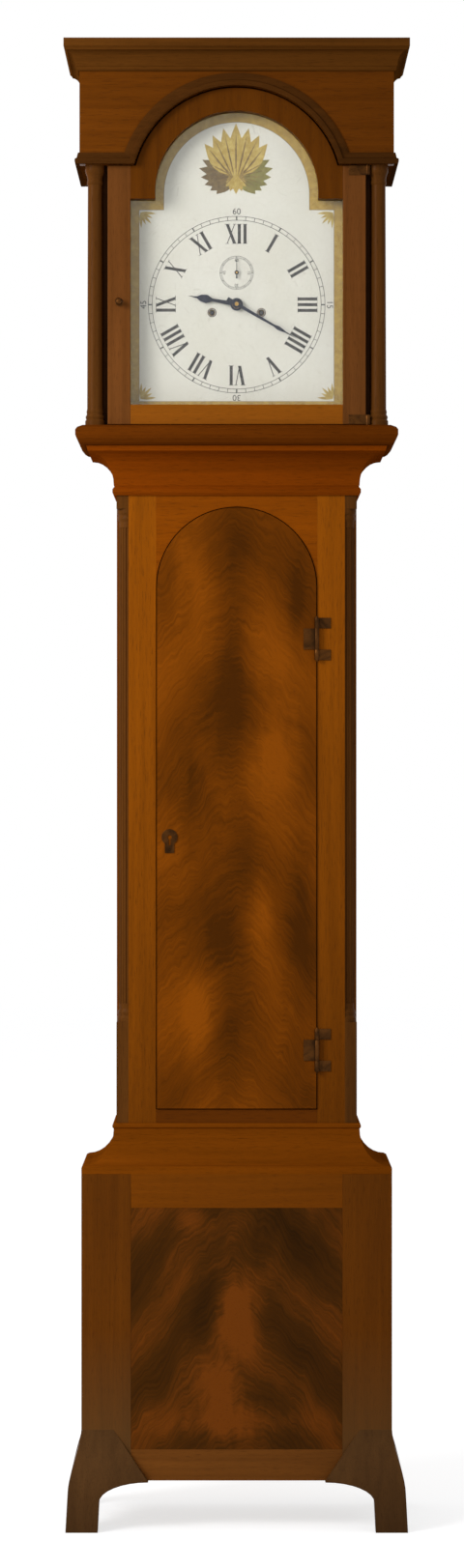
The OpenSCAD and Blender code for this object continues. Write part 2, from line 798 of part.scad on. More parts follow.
module back_cock() color("goldenrod") difference() {
  union() {
    translate([-cock_half, back_plate_y + plate_t, anchor_z + cock_lift])
      cube([2 * cock_half, pendulum_y + cock_end - back_plate_y - plate_t, cock_t]);
    translate([-cock_half - 8, back_plate_y + plate_t, anchor_z + cock_lift])
      cube([2 * cock_half + 16, 3, cock_t]);
  }
  translate([-cock_half + 2, pendulum_y - spring_t, anchor_z + cock_lift - 1])
    cube([2 * cock_half - 4, 2 * spring_t, cock_t / 2]);
}

module seatboard() color("peru") difference() {
  translate([-trunk_w / 2, seat_front, seat_z - seat_t])
    cube([trunk_w, seat_back - seat_front, seat_t]);
  for (x = [-line_out_x, -line_in_x, line_in_x, line_out_x])
    translate([x, line_y, seat_z - seat_t - 1])
      cylinder(r = seat_hole_r, h = seat_t + 2);
}

module dial() color("ivory") {
  difference() {
    board(dial_y, dial_y + dial_t)
      arched(dial_w / 2, dial_z - dial_w / 2, arch_z, arch_z, dial_arch_r);
    rod(0, dial_z, pipe_r + 1, dial_y - 1, dial_y + dial_t + 1);
    rod(0, escape_z, arbor_r + 1, dial_y - 1, dial_y + dial_t + 1);
    for (x = [-winding_x, winding_x])
      rod(x, barrel_z, winding_r + 2, dial_y - 1, dial_y + dial_t + 1);
  }
  for (x = [-pillar_x, pillar_x], z = dial_feet_z)
    rod(x, z, 4, dial_y + dial_t, front_plate_y);
}

module centre_wheel() color("goldenrod") {
  arbor(0, dial_z);
  across(0, centre_wheel_y, dial_z, wheel_t, atan2(third_z - dial_z, third_x))
    wheel_shape(centre_teeth, centre_m);
  across(0, great_y + 1, dial_z, pinion_t, great_angle + 180 / centre_leaves)
    pinion_shape(centre_leaves, great_m);
  across(0, motion_y, dial_z, wheel_t, -90)
    wheel_shape(cannon_teeth, cannon_m, 0.75, 1.1, 1.6, 0.6);
  rod(0, dial_z, cannon_r, hour_hand_y - hand_t - 1, front_plate_y - 1);
  rod(0, dial_z, cannon_r - 1, minute_hand_y - hand_t - 2, hour_hand_y);
  rod(0, dial_z, pivot_r, front_plate_y - 2, front_plate_y + 1);
}

module hour_wheel() color("goldenrod") difference() {
  union() {
    across(0, hour_wheel_y, dial_z, wheel_t, -90)
      wheel_shape(hour_teeth, hour_m);
    rod(0, dial_z, pipe_r + 2, hour_wheel_y - 4, hour_wheel_y);
    rod(0, dial_z, pipe_r, hour_hand_y - hand_t - 0.5, hour_wheel_y);
  }
  rod(0, dial_z, cannon_r + run_gap, hour_hand_y - hand_t - 2, hour_wheel_y + 1);
}

module minute_wheel() color("goldenrod") {
  rod(0, dial_z - motion_reach, pivot_r, motion_y - wheel_t, plate_y);
  rod(0, dial_z - motion_reach, stud_r, hour_wheel_y - 4, motion_y);
  across(0, motion_y, dial_z - motion_reach, wheel_t, 90 + 180 / cannon_teeth)
    wheel_shape(cannon_teeth, cannon_m, 0.75, 1.1, 1.6, 0.6);
  across(0, hour_wheel_y + 1.5, dial_z - motion_reach, pinion_t, 90 + 180 / minute_leaves)
    pinion_shape(minute_leaves, hour_m, 0.85);
}

module third_wheel() color("goldenrod") {
  arbor(third_x, third_z);
  across(third_x, third_pinion_y, third_z, pinion_t, atan2(dial_z - third_z, -third_x) + 180 / third_leaves)
    pinion_shape(third_leaves, centre_m);
  across(third_x, third_wheel_y, third_z, wheel_t, atan2(escape_z - third_z, -third_x))
    wheel_shape(third_teeth, third_m);
}

// Escape wheel with its raked teeth, on the seconds arbor
module escape_wheel() color("goldenrod") {
  arbor(0, escape_z);
  rod(0, escape_z, pivot_r, seconds_hand_y - hand_t - 1, front_plate_y + 1);
  across(0, third_wheel_y + 1.5, escape_z, pinion_t, atan2(third_z - escape_z, third_x) + 180 / escape_leaves)
    pinion_shape(escape_leaves, third_m, 0.9);
  across(0, escape_wheel_y, escape_z, wheel_t)
    difference() {
      polygon([for (k = [0:escape_teeth - 1]) for (p = [[0, 0.04], [3.4, 0.42], [3.4, 0.54], [0, 0.72]])
        let (r = escape_r - 3.4 + p[0], a = 360 * (k + p[1]) / escape_teeth) [r * cos(a), r * sin(a)]]);
      difference() {
        circle(escape_r - 5);
        circle(6);
        for (a = [0, 90])
          rotate(a)
            square([2 * escape_r, 2.4], center = true);
      }
    }
}

// A hand pointing at the given angle from twelve, about its own arbor
module hand(z, y, hole, boss, angle)
  translate([0, y, z])
    rotate([0, angle, 0])
      rotate([90, 0, 0])
        difference() {
          union() {
            cylinder(r = boss, h = hand_t);
            linear_extrude(hand_t)
              children();
          }
          translate([0, 0, -1])
            cylinder(r = hole, h = hand_t + 2);
        }

module minute_hand() color("midnightblue")
  hand(dial_z, minute_hand_y, cannon_r - 1 + run_gap, 6, 6 * shown_minute)
    polygon([[-2.6, 0], [-1.6, minute_len * 0.62], [-3.2, minute_len * 0.68], [-1.8, minute_len * 0.76],
             [-0.9, minute_len * 0.8], [0, minute_len], [0.9, minute_len * 0.8], [1.8, minute_len * 0.76],
             [3.2, minute_len * 0.68], [1.6, minute_len * 0.62], [2.6, 0], [3, -16], [-3, -16]]);

module hour_hand() color("midnightblue")
  hand(dial_z, hour_hand_y, pipe_r + run_gap, 9.5, 30 * (shown_hour + shown_minute / 60))
    polygon([[-3.4, 0], [-2.2, hour_len * 0.5], [-6.5, hour_len * 0.62], [-5, hour_len * 0.74],
             [-1.4, hour_len * 0.82], [0, hour_len], [1.4, hour_len * 0.82], [5, hour_len * 0.74],
             [6.5, hour_len * 0.62], [2.2, hour_len * 0.5], [3.4, 0]]);

module seconds_hand() color("midnightblue")
  hand(escape_z, seconds_hand_y, pivot_r, 3.2, 0)
    polygon([[-1.1, -9], [-0.5, 0], [-0.35, seconds_len], [0.35, seconds_len], [0.5, 0], [1.1, -9]]);

// Gut barrel on its winding arbor
module barrel(x) {
  rod(x, barrel_z, winding_r, dial_y + 1, back_plate_y + plate_t);
  rod(x, barrel_z, barrel_r, line_y - drum_half, line_y + drum_half);
  for (y = [line_y - drum_half, line_y + drum_half - 2])
    rod(x, barrel_z, barrel_r + 2, y, y + 2);
}

module going_great_wheel() color("goldenrod")
  across(winding_x, great_y, barrel_z, great_t, great_angle)
    difference() {
      wheel_shape(great_teeth, great_m);
      circle(winding_r + run_gap);
    }

module going_barrel() color("goldenrod")
  barrel(winding_x);

// The strike barrel turns with its own great wheel
module strike_barrel() color("goldenrod") {
  barrel(-winding_x);
  across(-winding_x, great_y, barrel_z, great_t)
    wheel_shape(strike_teeth, great_m);
  rod(-winding_x, barrel_z, 6.5, line_y + drum_half - 1, great_y);
}

module weight() {
  translate([weight_x, line_y, weight_foot_z])
    rotate_extrude()
      polygon([[0, 0], [weight_r - 2, 0], [weight_r, 2], [weight_r, weight_h - 4],
               [weight_r - 5, weight_h], [0, weight_h]]);
  translate([weight_x, line_y, weight_foot_z + weight_h - 1]) {
    cylinder(r = 3, h = pulley_z - weight_foot_z - weight_h - pulley_r - 5);
    for (y = [-pulley_half - 3.5, pulley_half + 1])
      translate([-5, y, pulley_z - weight_foot_z - weight_h - pulley_r - 9])
        cube([10, 2.5, pulley_r + 16]);
    translate([-5, -pulley_half - 3.5, pulley_z - weight_foot_z - weight_h - pulley_r - 9])
      cube([10, 2 * pulley_half + 7, 4]);
  }
  rod(weight_x, pulley_z, pulley_pin_r, line_y - pulley_half - 2, line_y + pulley_half + 2);
}

module pulley() difference() {
  translate([weight_x, line_y + pulley_half, pulley_z])
    rotate([90, 0, 0])
      rotate_extrude()
        polygon([[0, 0], [pulley_r + 3, 0], [pulley_r + 3, 0.6], [pulley_r, 1.2],
                 [pulley_r, 2 * pulley_half - 1.2], [pulley_r + 3, 2 * pulley_half - 0.6],
                 [pulley_r + 3, 2 * pulley_half], [0, 2 * pulley_half]]);
  rod(weight_x, pulley_z, pulley_pin_r + run_gap, line_y - pulley_half - 1, line_y + pulley_half + 1);
}

// The two straight runs of a gut line, and its knot on the seatboard
module line() {
  translate([line_out_x, line_y, pulley_z])
    cylinder(r = gut_r, h = barrel_z - pulley_z, $fn = 16);
  translate([line_in_x, line_y, pulley_z])
    cylinder(r = gut_r, h = seat_z - pulley_z + 1, $fn = 16);
  translate([line_in_x, line_y, seat_z])
    cylinder(r = seat_hole_r + 1, h = 5, $fn = 24);
}

module going_weight() color("gray")
  weight();

module going_pulley() color("goldenrod")
  pulley();

module going_line() color("tan")
  line();

module strike_weight() color("gray") mirror([1, 0, 0])
  weight();

module strike_pulley() color("goldenrod") mirror([1, 0, 0])
  pulley();

module strike_line() color("tan") mirror([1, 0, 0])
  line();

// Anchor on its arbor, with the crutch behind the back plate
module anchor() color("gray") {
  arbor(0, anchor_z);
  across(0, escape_wheel_y + 0.5, anchor_z, 3)
    polygon([[-4, 5], [4, 5], [18, -7], [18.5, -16], [15, -15], [11, -9.5], [0, -5],
             [-11, -9.5], [-15, -15], [-18.5, -16], [-18, -7]]);
  rod(0, anchor_z, arbor_r + 1.5, back_plate_y + plate_t + 1, crutch_y + 3);
  rod(0, anchor_z, pivot_r, back_plate_y, back_plate_y + plate_t + 2);
  translate([-2, crutch_y, anchor_z - crutch_len])
    cube([4, 3, crutch_len]);
  translate([-8, crutch_y, anchor_z - crutch_len - 4])
    cube([16, 3, 5]);
  for (x = [-8, pendulum_rod_r + slide_gap])
    translate([x, crutch_y, anchor_z - crutch_len - 4])
      cube([8 - pendulum_rod_r - slide_gap, pendulum_y + 4 - crutch_y, 5]);
}

module pendulum_rod() color("gray") {
  translate([-cock_half + 3, pendulum_y - spring_t / 2, anchor_z - spring_len])
    cube([2 * cock_half - 6, spring_t, spring_len + cock_lift - 1]);
  translate([-cock_half + 2, pendulum_y - 2.5, anchor_z - spring_len - 12])
    cube([2 * cock_half - 4, 5, 12]);
  translate([0, pendulum_y, bob_z - bob_r - 32])
    cylinder(r = pendulum_rod_r, h = anchor_z - spring_len - 12 - bob_z + bob_r + 32);
}

module pendulum_bob() color("goldenrod") difference() {
  translate([0, pendulum_y + bob_t / 2, bob_z])
    rotate([90, 0, 0])
      rotate_extrude($fn = 96)
        polygon([[0, 0], [bob_r * 0.55, 1], [bob_r * 0.85, 5], [bob_r, bob_t / 2],
                 [bob_r * 0.85, bob_t - 5], [bob_r * 0.55, bob_t - 1], [0, bob_t]]);
  translate([0, pendulum_y, bob_z - bob_r - 1])
    cylinder(r = pendulum_rod_r + run_gap, h = 2 * bob_r + 2);
}

module rating_nut() color("goldenrod") difference() {
  translate([0, pendulum_y, bob_z - bob_r - nut_h - slide_gap])
    cylinder(r = nut_r, h = nut_h);
  translate([0, pendulum_y, bob_z - bob_r - nut_h - 2])
    cylinder(r = pendulum_rod_r + run_gap, h = nut_h + 4);
}

// Bell over the plates, on its stand
module bell() color("gold") {
  translate([0, bell_y, bell_z])
    rotate_extrude($fn = 64)
      polygon(concat([for (i = [0:10]) [bell_r * cos(9 * i), bell_r * sin(9 * i)]],
                     [for (i = [10:-1:0]) [(bell_r - bell_wall) * cos(9 * i), (bell_r - bell_wall) * sin(9 * i)]]));
  translate([0, bell_y, bell_z - 12])
    cylinder(r = 3, h = bell_r - bell_wall + 12);
  translate([0, bell_y - 4, bell_z - 16])
    cube([stand_x + 5, 8, 4]);
  translate([stand_x - 5, bell_y - 4, bell_z - 16])
    cube([10, back_plate_y + plate_t + 3 - bell_y + 4, 4]);
  translate([stand_x - 5, back_plate_y + plate_t, dial_z + plate_h / 2 - 30])
    cube([10, 3, bell_z - 12 - dial_z - plate_h / 2 + 30]);
}

module hammer() color("gray") {
  arbor(hammer_x, hammer_z);
  translate([hammer_x, bell_y - 2, hammer_z])
    rotate([0, -atan2(hammer_x + hammer_end, bell_z + 6 - hammer_z), 0])
      translate([-2, 0, 0])
        cube([4, 4, sqrt(pow(hammer_x + hammer_end, 2) + pow(bell_z + 6 - hammer_z, 2))]);
  translate([-hammer_end - 5, bell_y, bell_z + 6])
    rotate([0, 90, 0])
      cylinder(r = 6, h = 12);
}

backboard();
base_front();
base_panel();
base_sides();
bottom_board();
front_feet();
rear_feet();
waist_moulding();
trunk_sides();
trunk_front_frame();
quarter_columns();
throat_moulding();
trunk_hinge_leaves();
trunk_door();
trunk_door_hinges();
trunk_escutcheon();
trunk_lock();
lock_bolt();
hood_base();
hood_sides();
hood_columns();
hood_tympanum();
hood_arch_moulding();
hood_cornice();
hood_top_board();
dial_mask();
hood_door();
hood_glass();
hood_door_hinges();
hood_door_knob();
seatboard();
dial();
front_plate();
back_plate();
plate_pillars();
back_cock();
bell();
hammer();
centre_wheel();
minute_hand();
hour_wheel();
hour_hand();
escape_wheel();
seconds_hand();
third_wheel();
minute_wheel();
going_great_wheel();
going_barrel();
going_weight();
going_pulley();
going_line();
strike_barrel();
strike_weight();
strike_pulley();
strike_line();
anchor();
pendulum_rod();
pendulum_bob();
rating_nut();
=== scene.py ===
import json
import math

import bmesh
import bpy
from mathutils import Matrix, Vector

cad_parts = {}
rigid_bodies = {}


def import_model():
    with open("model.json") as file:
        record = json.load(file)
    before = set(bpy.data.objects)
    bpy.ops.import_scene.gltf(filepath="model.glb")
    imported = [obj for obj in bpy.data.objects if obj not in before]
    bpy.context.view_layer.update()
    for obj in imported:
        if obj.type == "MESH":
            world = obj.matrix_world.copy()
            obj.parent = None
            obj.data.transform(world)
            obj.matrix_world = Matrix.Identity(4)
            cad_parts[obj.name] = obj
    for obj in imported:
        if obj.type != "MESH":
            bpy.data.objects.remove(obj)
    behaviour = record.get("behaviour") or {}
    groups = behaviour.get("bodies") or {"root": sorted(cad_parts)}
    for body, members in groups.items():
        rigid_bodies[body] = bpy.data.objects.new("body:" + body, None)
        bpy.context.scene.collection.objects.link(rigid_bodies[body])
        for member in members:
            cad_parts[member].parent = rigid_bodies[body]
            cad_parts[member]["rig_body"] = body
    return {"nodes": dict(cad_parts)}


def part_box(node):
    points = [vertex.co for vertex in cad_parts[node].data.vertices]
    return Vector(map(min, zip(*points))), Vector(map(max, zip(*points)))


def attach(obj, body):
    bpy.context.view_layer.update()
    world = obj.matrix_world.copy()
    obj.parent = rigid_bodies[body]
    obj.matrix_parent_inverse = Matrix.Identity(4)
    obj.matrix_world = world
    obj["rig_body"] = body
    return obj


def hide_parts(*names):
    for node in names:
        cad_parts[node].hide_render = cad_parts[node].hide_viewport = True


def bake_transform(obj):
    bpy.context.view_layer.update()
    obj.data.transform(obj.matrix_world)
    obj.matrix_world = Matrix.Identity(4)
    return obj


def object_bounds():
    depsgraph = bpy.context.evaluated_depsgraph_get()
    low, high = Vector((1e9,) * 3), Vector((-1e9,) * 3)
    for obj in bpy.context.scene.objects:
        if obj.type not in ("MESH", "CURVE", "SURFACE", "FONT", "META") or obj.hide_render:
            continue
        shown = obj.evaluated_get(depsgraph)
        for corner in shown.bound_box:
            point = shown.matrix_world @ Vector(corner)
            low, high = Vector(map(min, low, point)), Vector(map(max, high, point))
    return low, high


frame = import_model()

cad_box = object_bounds()
nodes = frame["nodes"]

# Where the clock stands

# A plain pale floor in an open white room, lit by a large soft box from the
# upper left and a faint one from the right. The camera looks level, from where
# the photograph was taken.
VIEW_DISTANCE = 6.0
FRONT_PLANE = -0.10
VIEW_HEIGHT = 1.115
VIEW_SIDE = -0.007
SEEN_HEIGHT = 2.345

eye = bpy.data.cameras.new("eye")
eye.sensor_fit = "VERTICAL"
eye.sensor_height = 24
eye.lens = eye.sensor_height * VIEW_DISTANCE / SEEN_HEIGHT
camera = bpy.data.objects.new("eye", eye)
camera.location = (VIEW_SIDE, FRONT_PLANE - VIEW_DISTANCE, VIEW_HEIGHT)
camera.rotation_euler = (math.pi / 2, 0, 0)
bpy.context.scene.collection.objects.link(camera)
bpy.context.scene.camera = camera
bpy.context.scene.view_settings.view_transform = "Standard"


def lamp(name, place, aim, size, watts):
    """A square soft box at a place, turned to shine at aim."""
    light = bpy.data.lights.new(name, "AREA")
    light.size = size
    light.energy = watts
    stand = bpy.data.objects.new(name, light)
    stand.location = place
    stand.rotation_euler = (Vector(aim) - Vector(place)).to_track_quat("-Z", "Y").to_euler()
    bpy.context.scene.collection.objects.link(stand)


SOFT_BOX = 1.6
lamp("window", place=(-2.9, -2.6, 2.8), aim=(0, 0, 1.3), size=SOFT_BOX, watts=96)
lamp("far_window", place=(2.6, -3.4, 1.9), aim=(0, 0, 1.1), size=SOFT_BOX, watts=7)


def node(tree, kind, inputs=(), **settings):
    """A node of a kind, with its settings and with its inputs linked or set."""
    made = tree.nodes.new("ShaderNode" + kind)
    for key, value in settings.items():
        setattr(made, key, value)
    for key, value in dict(inputs).items():
        if isinstance(value, bpy.types.NodeSocket):
            tree.links.new(value, made.inputs[key])
        else:
            made.inputs[key].default_value = value
    return made


def maths(tree, operation, a, b=0.0):
    """The result of a Math node on two sockets or numbers."""
    return node(tree, "Math", {0: a, 1: b}, operation=operation).outputs[0]


def ramp(tree, value, low, high, start=0.0, end=1.0):
    """A value read off a straight slope: start where it is low or under, end where it is high."""
    return node(tree, "MapRange", {"Value": value, "From Min": low, "From Max": high,
                                   "To Min": start, "To Max": end}).outputs[0]


def seen_straight(tree):
    """One where a camera, gloss or glass sees the surface, nought where light bounces off it."""
    rays = tree.nodes.new("ShaderNodeLightPath").outputs
    mirrored = maths(tree, "MAXIMUM", rays["Is Camera Ray"], rays["Is Glossy Ray"])
    return maths(tree, "MAXIMUM", mirrored, rays["Is Transmission Ray"])


ROOM_LIGHT = 0.53
room = bpy.data.worlds.new("room")
bpy.context.scene.world = room
room.use_nodes = True
tree = room.node_tree
tree.nodes.clear()
level = ramp(tree, seen_straight(tree), 0.0, 1.0, ROOM_LIGHT, 1.0)
walls = node(tree, "Background", {"Color": (1, 1, 1, 1), "Strength": level})
node(tree, "OutputWorld", {"Surface": walls.outputs[0]})


def keep(bm, name):
    """Turns a bmesh into an object at the origin, its place in its mesh."""
    mesh = bpy.data.meshes.new(name)
    bm.to_mesh(mesh)
    bm.free()
    piece = bpy.data.objects.new(name, mesh)
    bpy.context.scene.collection.objects.link(piece)
    return piece


def finish_of(name, specular, rough=0.5, metallic=0.0):
    """A new material, its node tree and its Principled shader."""
    material = bpy.data.materials.new(name)
    material.use_nodes = True
    shader = material.node_tree.nodes["Principled BSDF"]
    shader.inputs["Roughness"].default_value = rough
    shader.inputs["Metallic"].default_value = metallic
    shader.inputs["Specular IOR Level"].default_value = specular
    return material, material.node_tree, shader


def shade(*rgb):
    """A colour as it is read off a painted or polished surface, each part 0 to 255."""
    parts = [c / 255 for c in rgb]
    return [p / 12.92 if p <= 0.04045 else ((p + 0.055) / 1.055) ** 2.4 for p in parts] + [1.0]


FLOOR_RADIUS, FLOOR_GLOW = 14, 0.66
disc = bmesh.new()
bmesh.ops.create_circle(disc, cap_ends=True, radius=FLOOR_RADIUS, segments=96)
floor = keep(disc, "floor")
floor_paint, tree, shader = finish_of("pale_floor", rough=1.0, specular=0.0)
shader.inputs["Base Color"].default_value = shade(208, 208, 209)
shader.inputs["Emission Color"].default_value = (1, 1, 1, 1)
glow = maths(tree, "MULTIPLY", seen_straight(tree), FLOOR_GLOW)
tree.links.new(glow, shader.inputs["Emission Strength"])
floor.data.materials.append(floor_paint)

# The base

# A box of mahogany boards on splayed bracket feet. Its front is a frame of two
# stiles and two rails, tenoned together, round a panel of crotch veneer.
def new_group(name, inputs, outputs):
    """An empty shader node group with named sockets, and its two end nodes."""
    tree = bpy.data.node_groups.new(name, "ShaderNodeTree")
    for side, sockets in (("INPUT", inputs), ("OUTPUT", outputs)):
        for label, kind in sockets.items():
            tree.interface.new_socket(label, in_out=side, socket_type="NodeSocket" + kind)
    return tree, tree.nodes.new("NodeGroupInput").outputs, tree.nodes.new("NodeGroupOutput").inputs


def place_in(tree, group, values):
    """Places a node group in a tree, with its inputs linked or set, and gives its outputs."""
    return node(tree, "Group", values, node_tree=group).outputs


def noise(tree, vector, detail, rough, wander=0.0):
    """Noise with one turn to each metre of a vector."""
    return node(tree, "TexNoise", {"Vector": vector, "Scale": 1.0, "Detail": detail,
                                   "Roughness": rough, "Distortion": wander}).outputs["Fac"]


def drawn_noise(tree, vector, scale, detail, rough=0.55, wander=0.0):
    """Noise drawn out along one way: scale is in turns per metre on each axis."""
    drawn = node(tree, "VectorMath", {0: vector, 1: scale}, operation="MULTIPLY").outputs[0]
    return noise(tree, drawn, detail, rough, wander)


def mixed(tree, share, first, second):
    """The mix of two colours by a share."""
    return node(tree, "MixRGB", {"Fac": share, "Color1": first, "Color2": second},
                use_clamp=True).outputs[0]


def weighed(tree, base, *parts):
    """A base value and the sum of others, each times its own weight."""
    for value, weight in parts:
        base = node(tree, "Math", {0: value, 1: weight, 2: base},
                    operation="MULTIPLY_ADD").outputs[0]
    return base


# Straight-grained mahogany: long streaks, slow bands, and short open pores
# that the polish has not filled. The grain runs along the vector's Z. As every
# finish does, it gives a colour, a roughness and the height of its relief.
PORE_EDGE = (0.58, 0.70)
FINISH = {"Color": "Color", "Roughness": "Float", "Height": "Float"}
grain, given, made = new_group(
    "board_grain", {"Vector": "Vector", "Light": "Color", "Dark": "Color", "Contrast": "Float"},
    FINISH)
streaks = drawn_noise(grain, given["Vector"], (95, 95, 3.2), 6, 0.62, 0.6)
bands = drawn_noise(grain, given["Vector"], (17, 17, 0.9), 3, 0.5, 1.2)
tone = drawn_noise(grain, given["Vector"], (4.5, 4.5, 1.6), 2)
fleck = ramp(grain, drawn_noise(grain, given["Vector"], (1500, 1500, 60), 2, 0.5), *PORE_EDGE)
figure = weighed(grain, -0.55, (streaks, 0.45), (bands, 0.35), (tone, 0.30))
share = node(grain, "Clamp", {"Value": weighed(grain, 0.5, (figure, given["Contrast"]))}).outputs[0]
wood = mixed(grain, share, given["Dark"], given["Light"])
pored = mixed(grain, maths(grain, "MULTIPLY", fleck, 0.4), wood, shade(34, 14, 4))
grain.links.new(pored, made["Color"])
grain.links.new(weighed(grain, 0.24, (fleck, 0.18), (bands, 0.16)), made["Roughness"])
grain.links.new(weighed(grain, 0.0, (streaks, 0.35), (fleck, -1)), made["Height"])


def relief(tree, shader, height, depth, strength):
    """Gives a shader the dents and ridges of a height."""
    bump = node(tree, "Bump", {"Height": height, "Distance": depth, "Strength": strength})
    tree.links.new(bump.outputs[0], shader.inputs["Normal"])


def coat(tree, shader, colour, rough, height, depth, strength):
    """Joins a colour, a roughness and a relief to a shader."""
    tree.links.new(colour, shader.inputs["Base Color"])
    tree.links.new(rough, shader.inputs["Roughness"])
    relief(tree, shader, height, depth, strength)


# Painted light and shade: every board and veneer is made lighter on its left, where the lamp shines
# from, and darker on its right.
LEFT_LIGHT_SHARE = 0.14


def bleached(tree, place, colour):
    """A wood's colour with painted light and shade: lighter on the left and darker on the right."""
    across = node(tree, "SeparateXYZ", {0: place}).outputs["X"]
    share = ramp(tree, across, cad_box[0][0], cad_box[1][0], 1 + LEFT_LIGHT_SHARE, 1 - LEFT_LIGHT_SHARE)
    return node(tree, "VectorMath", {0: colour, "Scale": share}, operation="SCALE").outputs[0]


ALONG = {"up": (0, 0, 0), "across": (0, math.pi / 2, 0)}
CONTRAST = 2.2


def board(name, light, dark, along="up", start=(0, 0, 0), specular=0.02, fade=None):
    """A board of two colours, its grain up or across, begun at its own place. A fade is a low and
    a high place, a share, and the colour that the board turns to by that share on its way down."""
    material, tree, shader = finish_of(name, specular=specular)
    place = node(tree, "TexCoord").outputs["Object"]
    turned = node(tree, "Mapping", {"Vector": place, "Location": start,
                                    "Rotation": ALONG[along]}).outputs[0]
    wood = place_in(tree, grain, {"Vector": turned, "Light": shade(*light), "Dark": shade(*dark),
                                  "Contrast": CONTRAST})
    colour = wood["Color"]
    if fade:
        low, high, most, lower_tone = fade
        height = node(tree, "SeparateXYZ", {0: place}).outputs["Z"]
        colour = mixed(tree, ramp(tree, height, high, low, 0.0, most), colour, shade(*lower_tone))
    coat(tree, shader, bleached(tree, place, colour), wood["Roughness"], wood["Height"],
         0.00025, 0.35)
    return material


def dress(material, *pieces):
    """Gives CAD nodes, or new pieces, this finish all over."""
    for piece in pieces:
        piece = nodes[piece] if isinstance(piece, str) else piece
        piece.data.materials.clear()
        piece.data.materials.append(material)


def ride_for(piece, name):
    """A piece that stands for a CAD node rides on the node's body, and the node is hidden."""
    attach(piece, nodes[name]["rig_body"])
    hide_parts(name)
    return piece


def solid_of(name):
    """A CAD node's own solid, merged, with its flat faces whole again."""
    bm = bmesh.new()
    bm.from_mesh(nodes[name].data)
    bmesh.ops.remove_doubles(bm, verts=bm.verts, dist=1e-6)
    bmesh.ops.dissolve_limit(bm, angle_limit=math.radians(1), verts=bm.verts, edges=bm.edges)
    return bm


SHARP = math.radians(35)


def ease(bm, width):
    """Takes the sharpness off every edge, as a plane and sandpaper do."""
    sharp = [e for e in bm.edges if e.is_manifold and e.calc_face_angle(0) > SHARP]
    bmesh.ops.bevel(bm, geom=sharp, offset=width, segments=2, profile=0.5, affect="EDGES",
                    clamp_overlap=True, material=-1)
    bmesh.ops.recalc_face_normals(bm, faces=bm.faces)


def eased(name, width=0.0008):
    """A CAD node's own shape with its edges eased, in its place."""
    bm = solid_of(name)
    ease(bm, width)
    return ride_for(keep(bm, "eased_" + name), name)


def sawn(name, label, planes, width=0.0006):
    """One board of a joined frame: the CAD solid sawn off beyond each plane, its edges eased."""
    bm = solid_of(name)
    for point, outwards in planes:
        bmesh.ops.bisect_plane(bm, geom=bm.verts[:] + bm.edges[:] + bm.faces[:], dist=1e-7,
                               plane_co=point, plane_no=outwards, clear_outer=True)
        bmesh.ops.holes_fill(bm, edges=[e for e in bm.edges if e.is_boundary], sides=0)
    ease(bm, width)
    return ride_for(keep(bm, label), name)


LEFT, RIGHT, UP, DOWN = (-1, 0, 0), (1, 0, 0), (0, 0, 1), (0, 0, -1)


def frame_of(name, half, foot, head, stiles, rails, head_rail):
    """Saws a frame into its two stiles and its rails, at the given half width and heights."""
    sides = [((-half, 0, 0), LEFT), ((half, 0, 0), RIGHT)]
    dress(stiles, sawn(name, name + "_left_stile", [((-half, 0, 0), RIGHT)]),
          sawn(name, name + "_right_stile", [((half, 0, 0), LEFT)]))
    dress(rails, sawn(name, name + "_bottom_rail", sides + [((0, 0, foot), UP)]))
    dress(head_rail, sawn(name, name + "_top_rail", sides + [((0, 0, head), DOWN)]))


panel_low, panel_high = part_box("base_panel")
# Lower down, the base stiles and side boards turn towards a dull tan, and the feet darken towards
# the floor.
TONE_FOOT, TONE_HEAD = 0.12, 0.30
frame_of("base_front", panel_high.x, panel_low.z, panel_high.z,
         stiles=board("base_stiles", (116, 62, 10), (78, 40, 7),
                      fade=(TONE_FOOT, TONE_HEAD, 0.55, (94, 70, 40))),
         rails=board("skirt_wood", (126, 74, 26), (92, 52, 18), "across"),
         head_rail=board("base_rail", (128, 66, 7), (92, 47, 4), "across", start=(0.2, 0, 0)))
dress(board("base_side_boards", (108, 56, 12), (66, 34, 7), start=(0.3, 0, 0), specular=0.01,
            fade=(TONE_FOOT, TONE_HEAD, 0.5, (84, 62, 36))), eased("base_sides"))
dress(board("foot_wood", (102, 68, 35), (70, 46, 24), start=(0.05, 0, 0.3),
            fade=(0.0, TONE_FOOT, 0.45, (44, 28, 15))), "front_feet", "rear_feet")
dress(board("waist_wood", (134, 68, 8), (96, 48, 4), "across", start=(0.1, 0, 0), specular=0.0),
      "waist_moulding")

# The boards that nobody looks at are of pine, planed but not polished.
dress(board("planed_pine_across", (182, 146, 98), (136, 98, 56), "across", specular=0.0),
      "bottom_board", "hood_top_board", "seatboard")

# Crotch veneer is cut where two limbs meet: dark feathers rise from a plume in
# round-headed arches. Door and base panel are cut from one flitch.
crotch, given, made = new_group(
    "crotch_figure",
    {"Vector": "Vector", "Light": "Color", "Middle": "Color", "Dark": "Color", "Pitch": "Float",
     "Rise": "Float", "Round": "Float", "Plume": "Float", "Depth": "Float", "Glow": "Float"},
    FINISH)


def combed(tree, climb, side, scale, detail, rough):
    """Noise combed out along the feathers: scale is in turns per metre up and across them."""
    laid = node(tree, "CombineXYZ", {"X": maths(tree, "MULTIPLY", climb, scale[0]),
                                     "Y": maths(tree, "MULTIPLY", side, scale[1])}).outputs[0]
    return noise(tree, laid, detail, rough)


def hill(tree, away):
    """One where away is nought, falling off smoothly on both sides."""
    squared = maths(tree, "MULTIPLY", away, away)
    return maths(tree, "EXPONENT", maths(tree, "MULTIPLY", squared, -1))


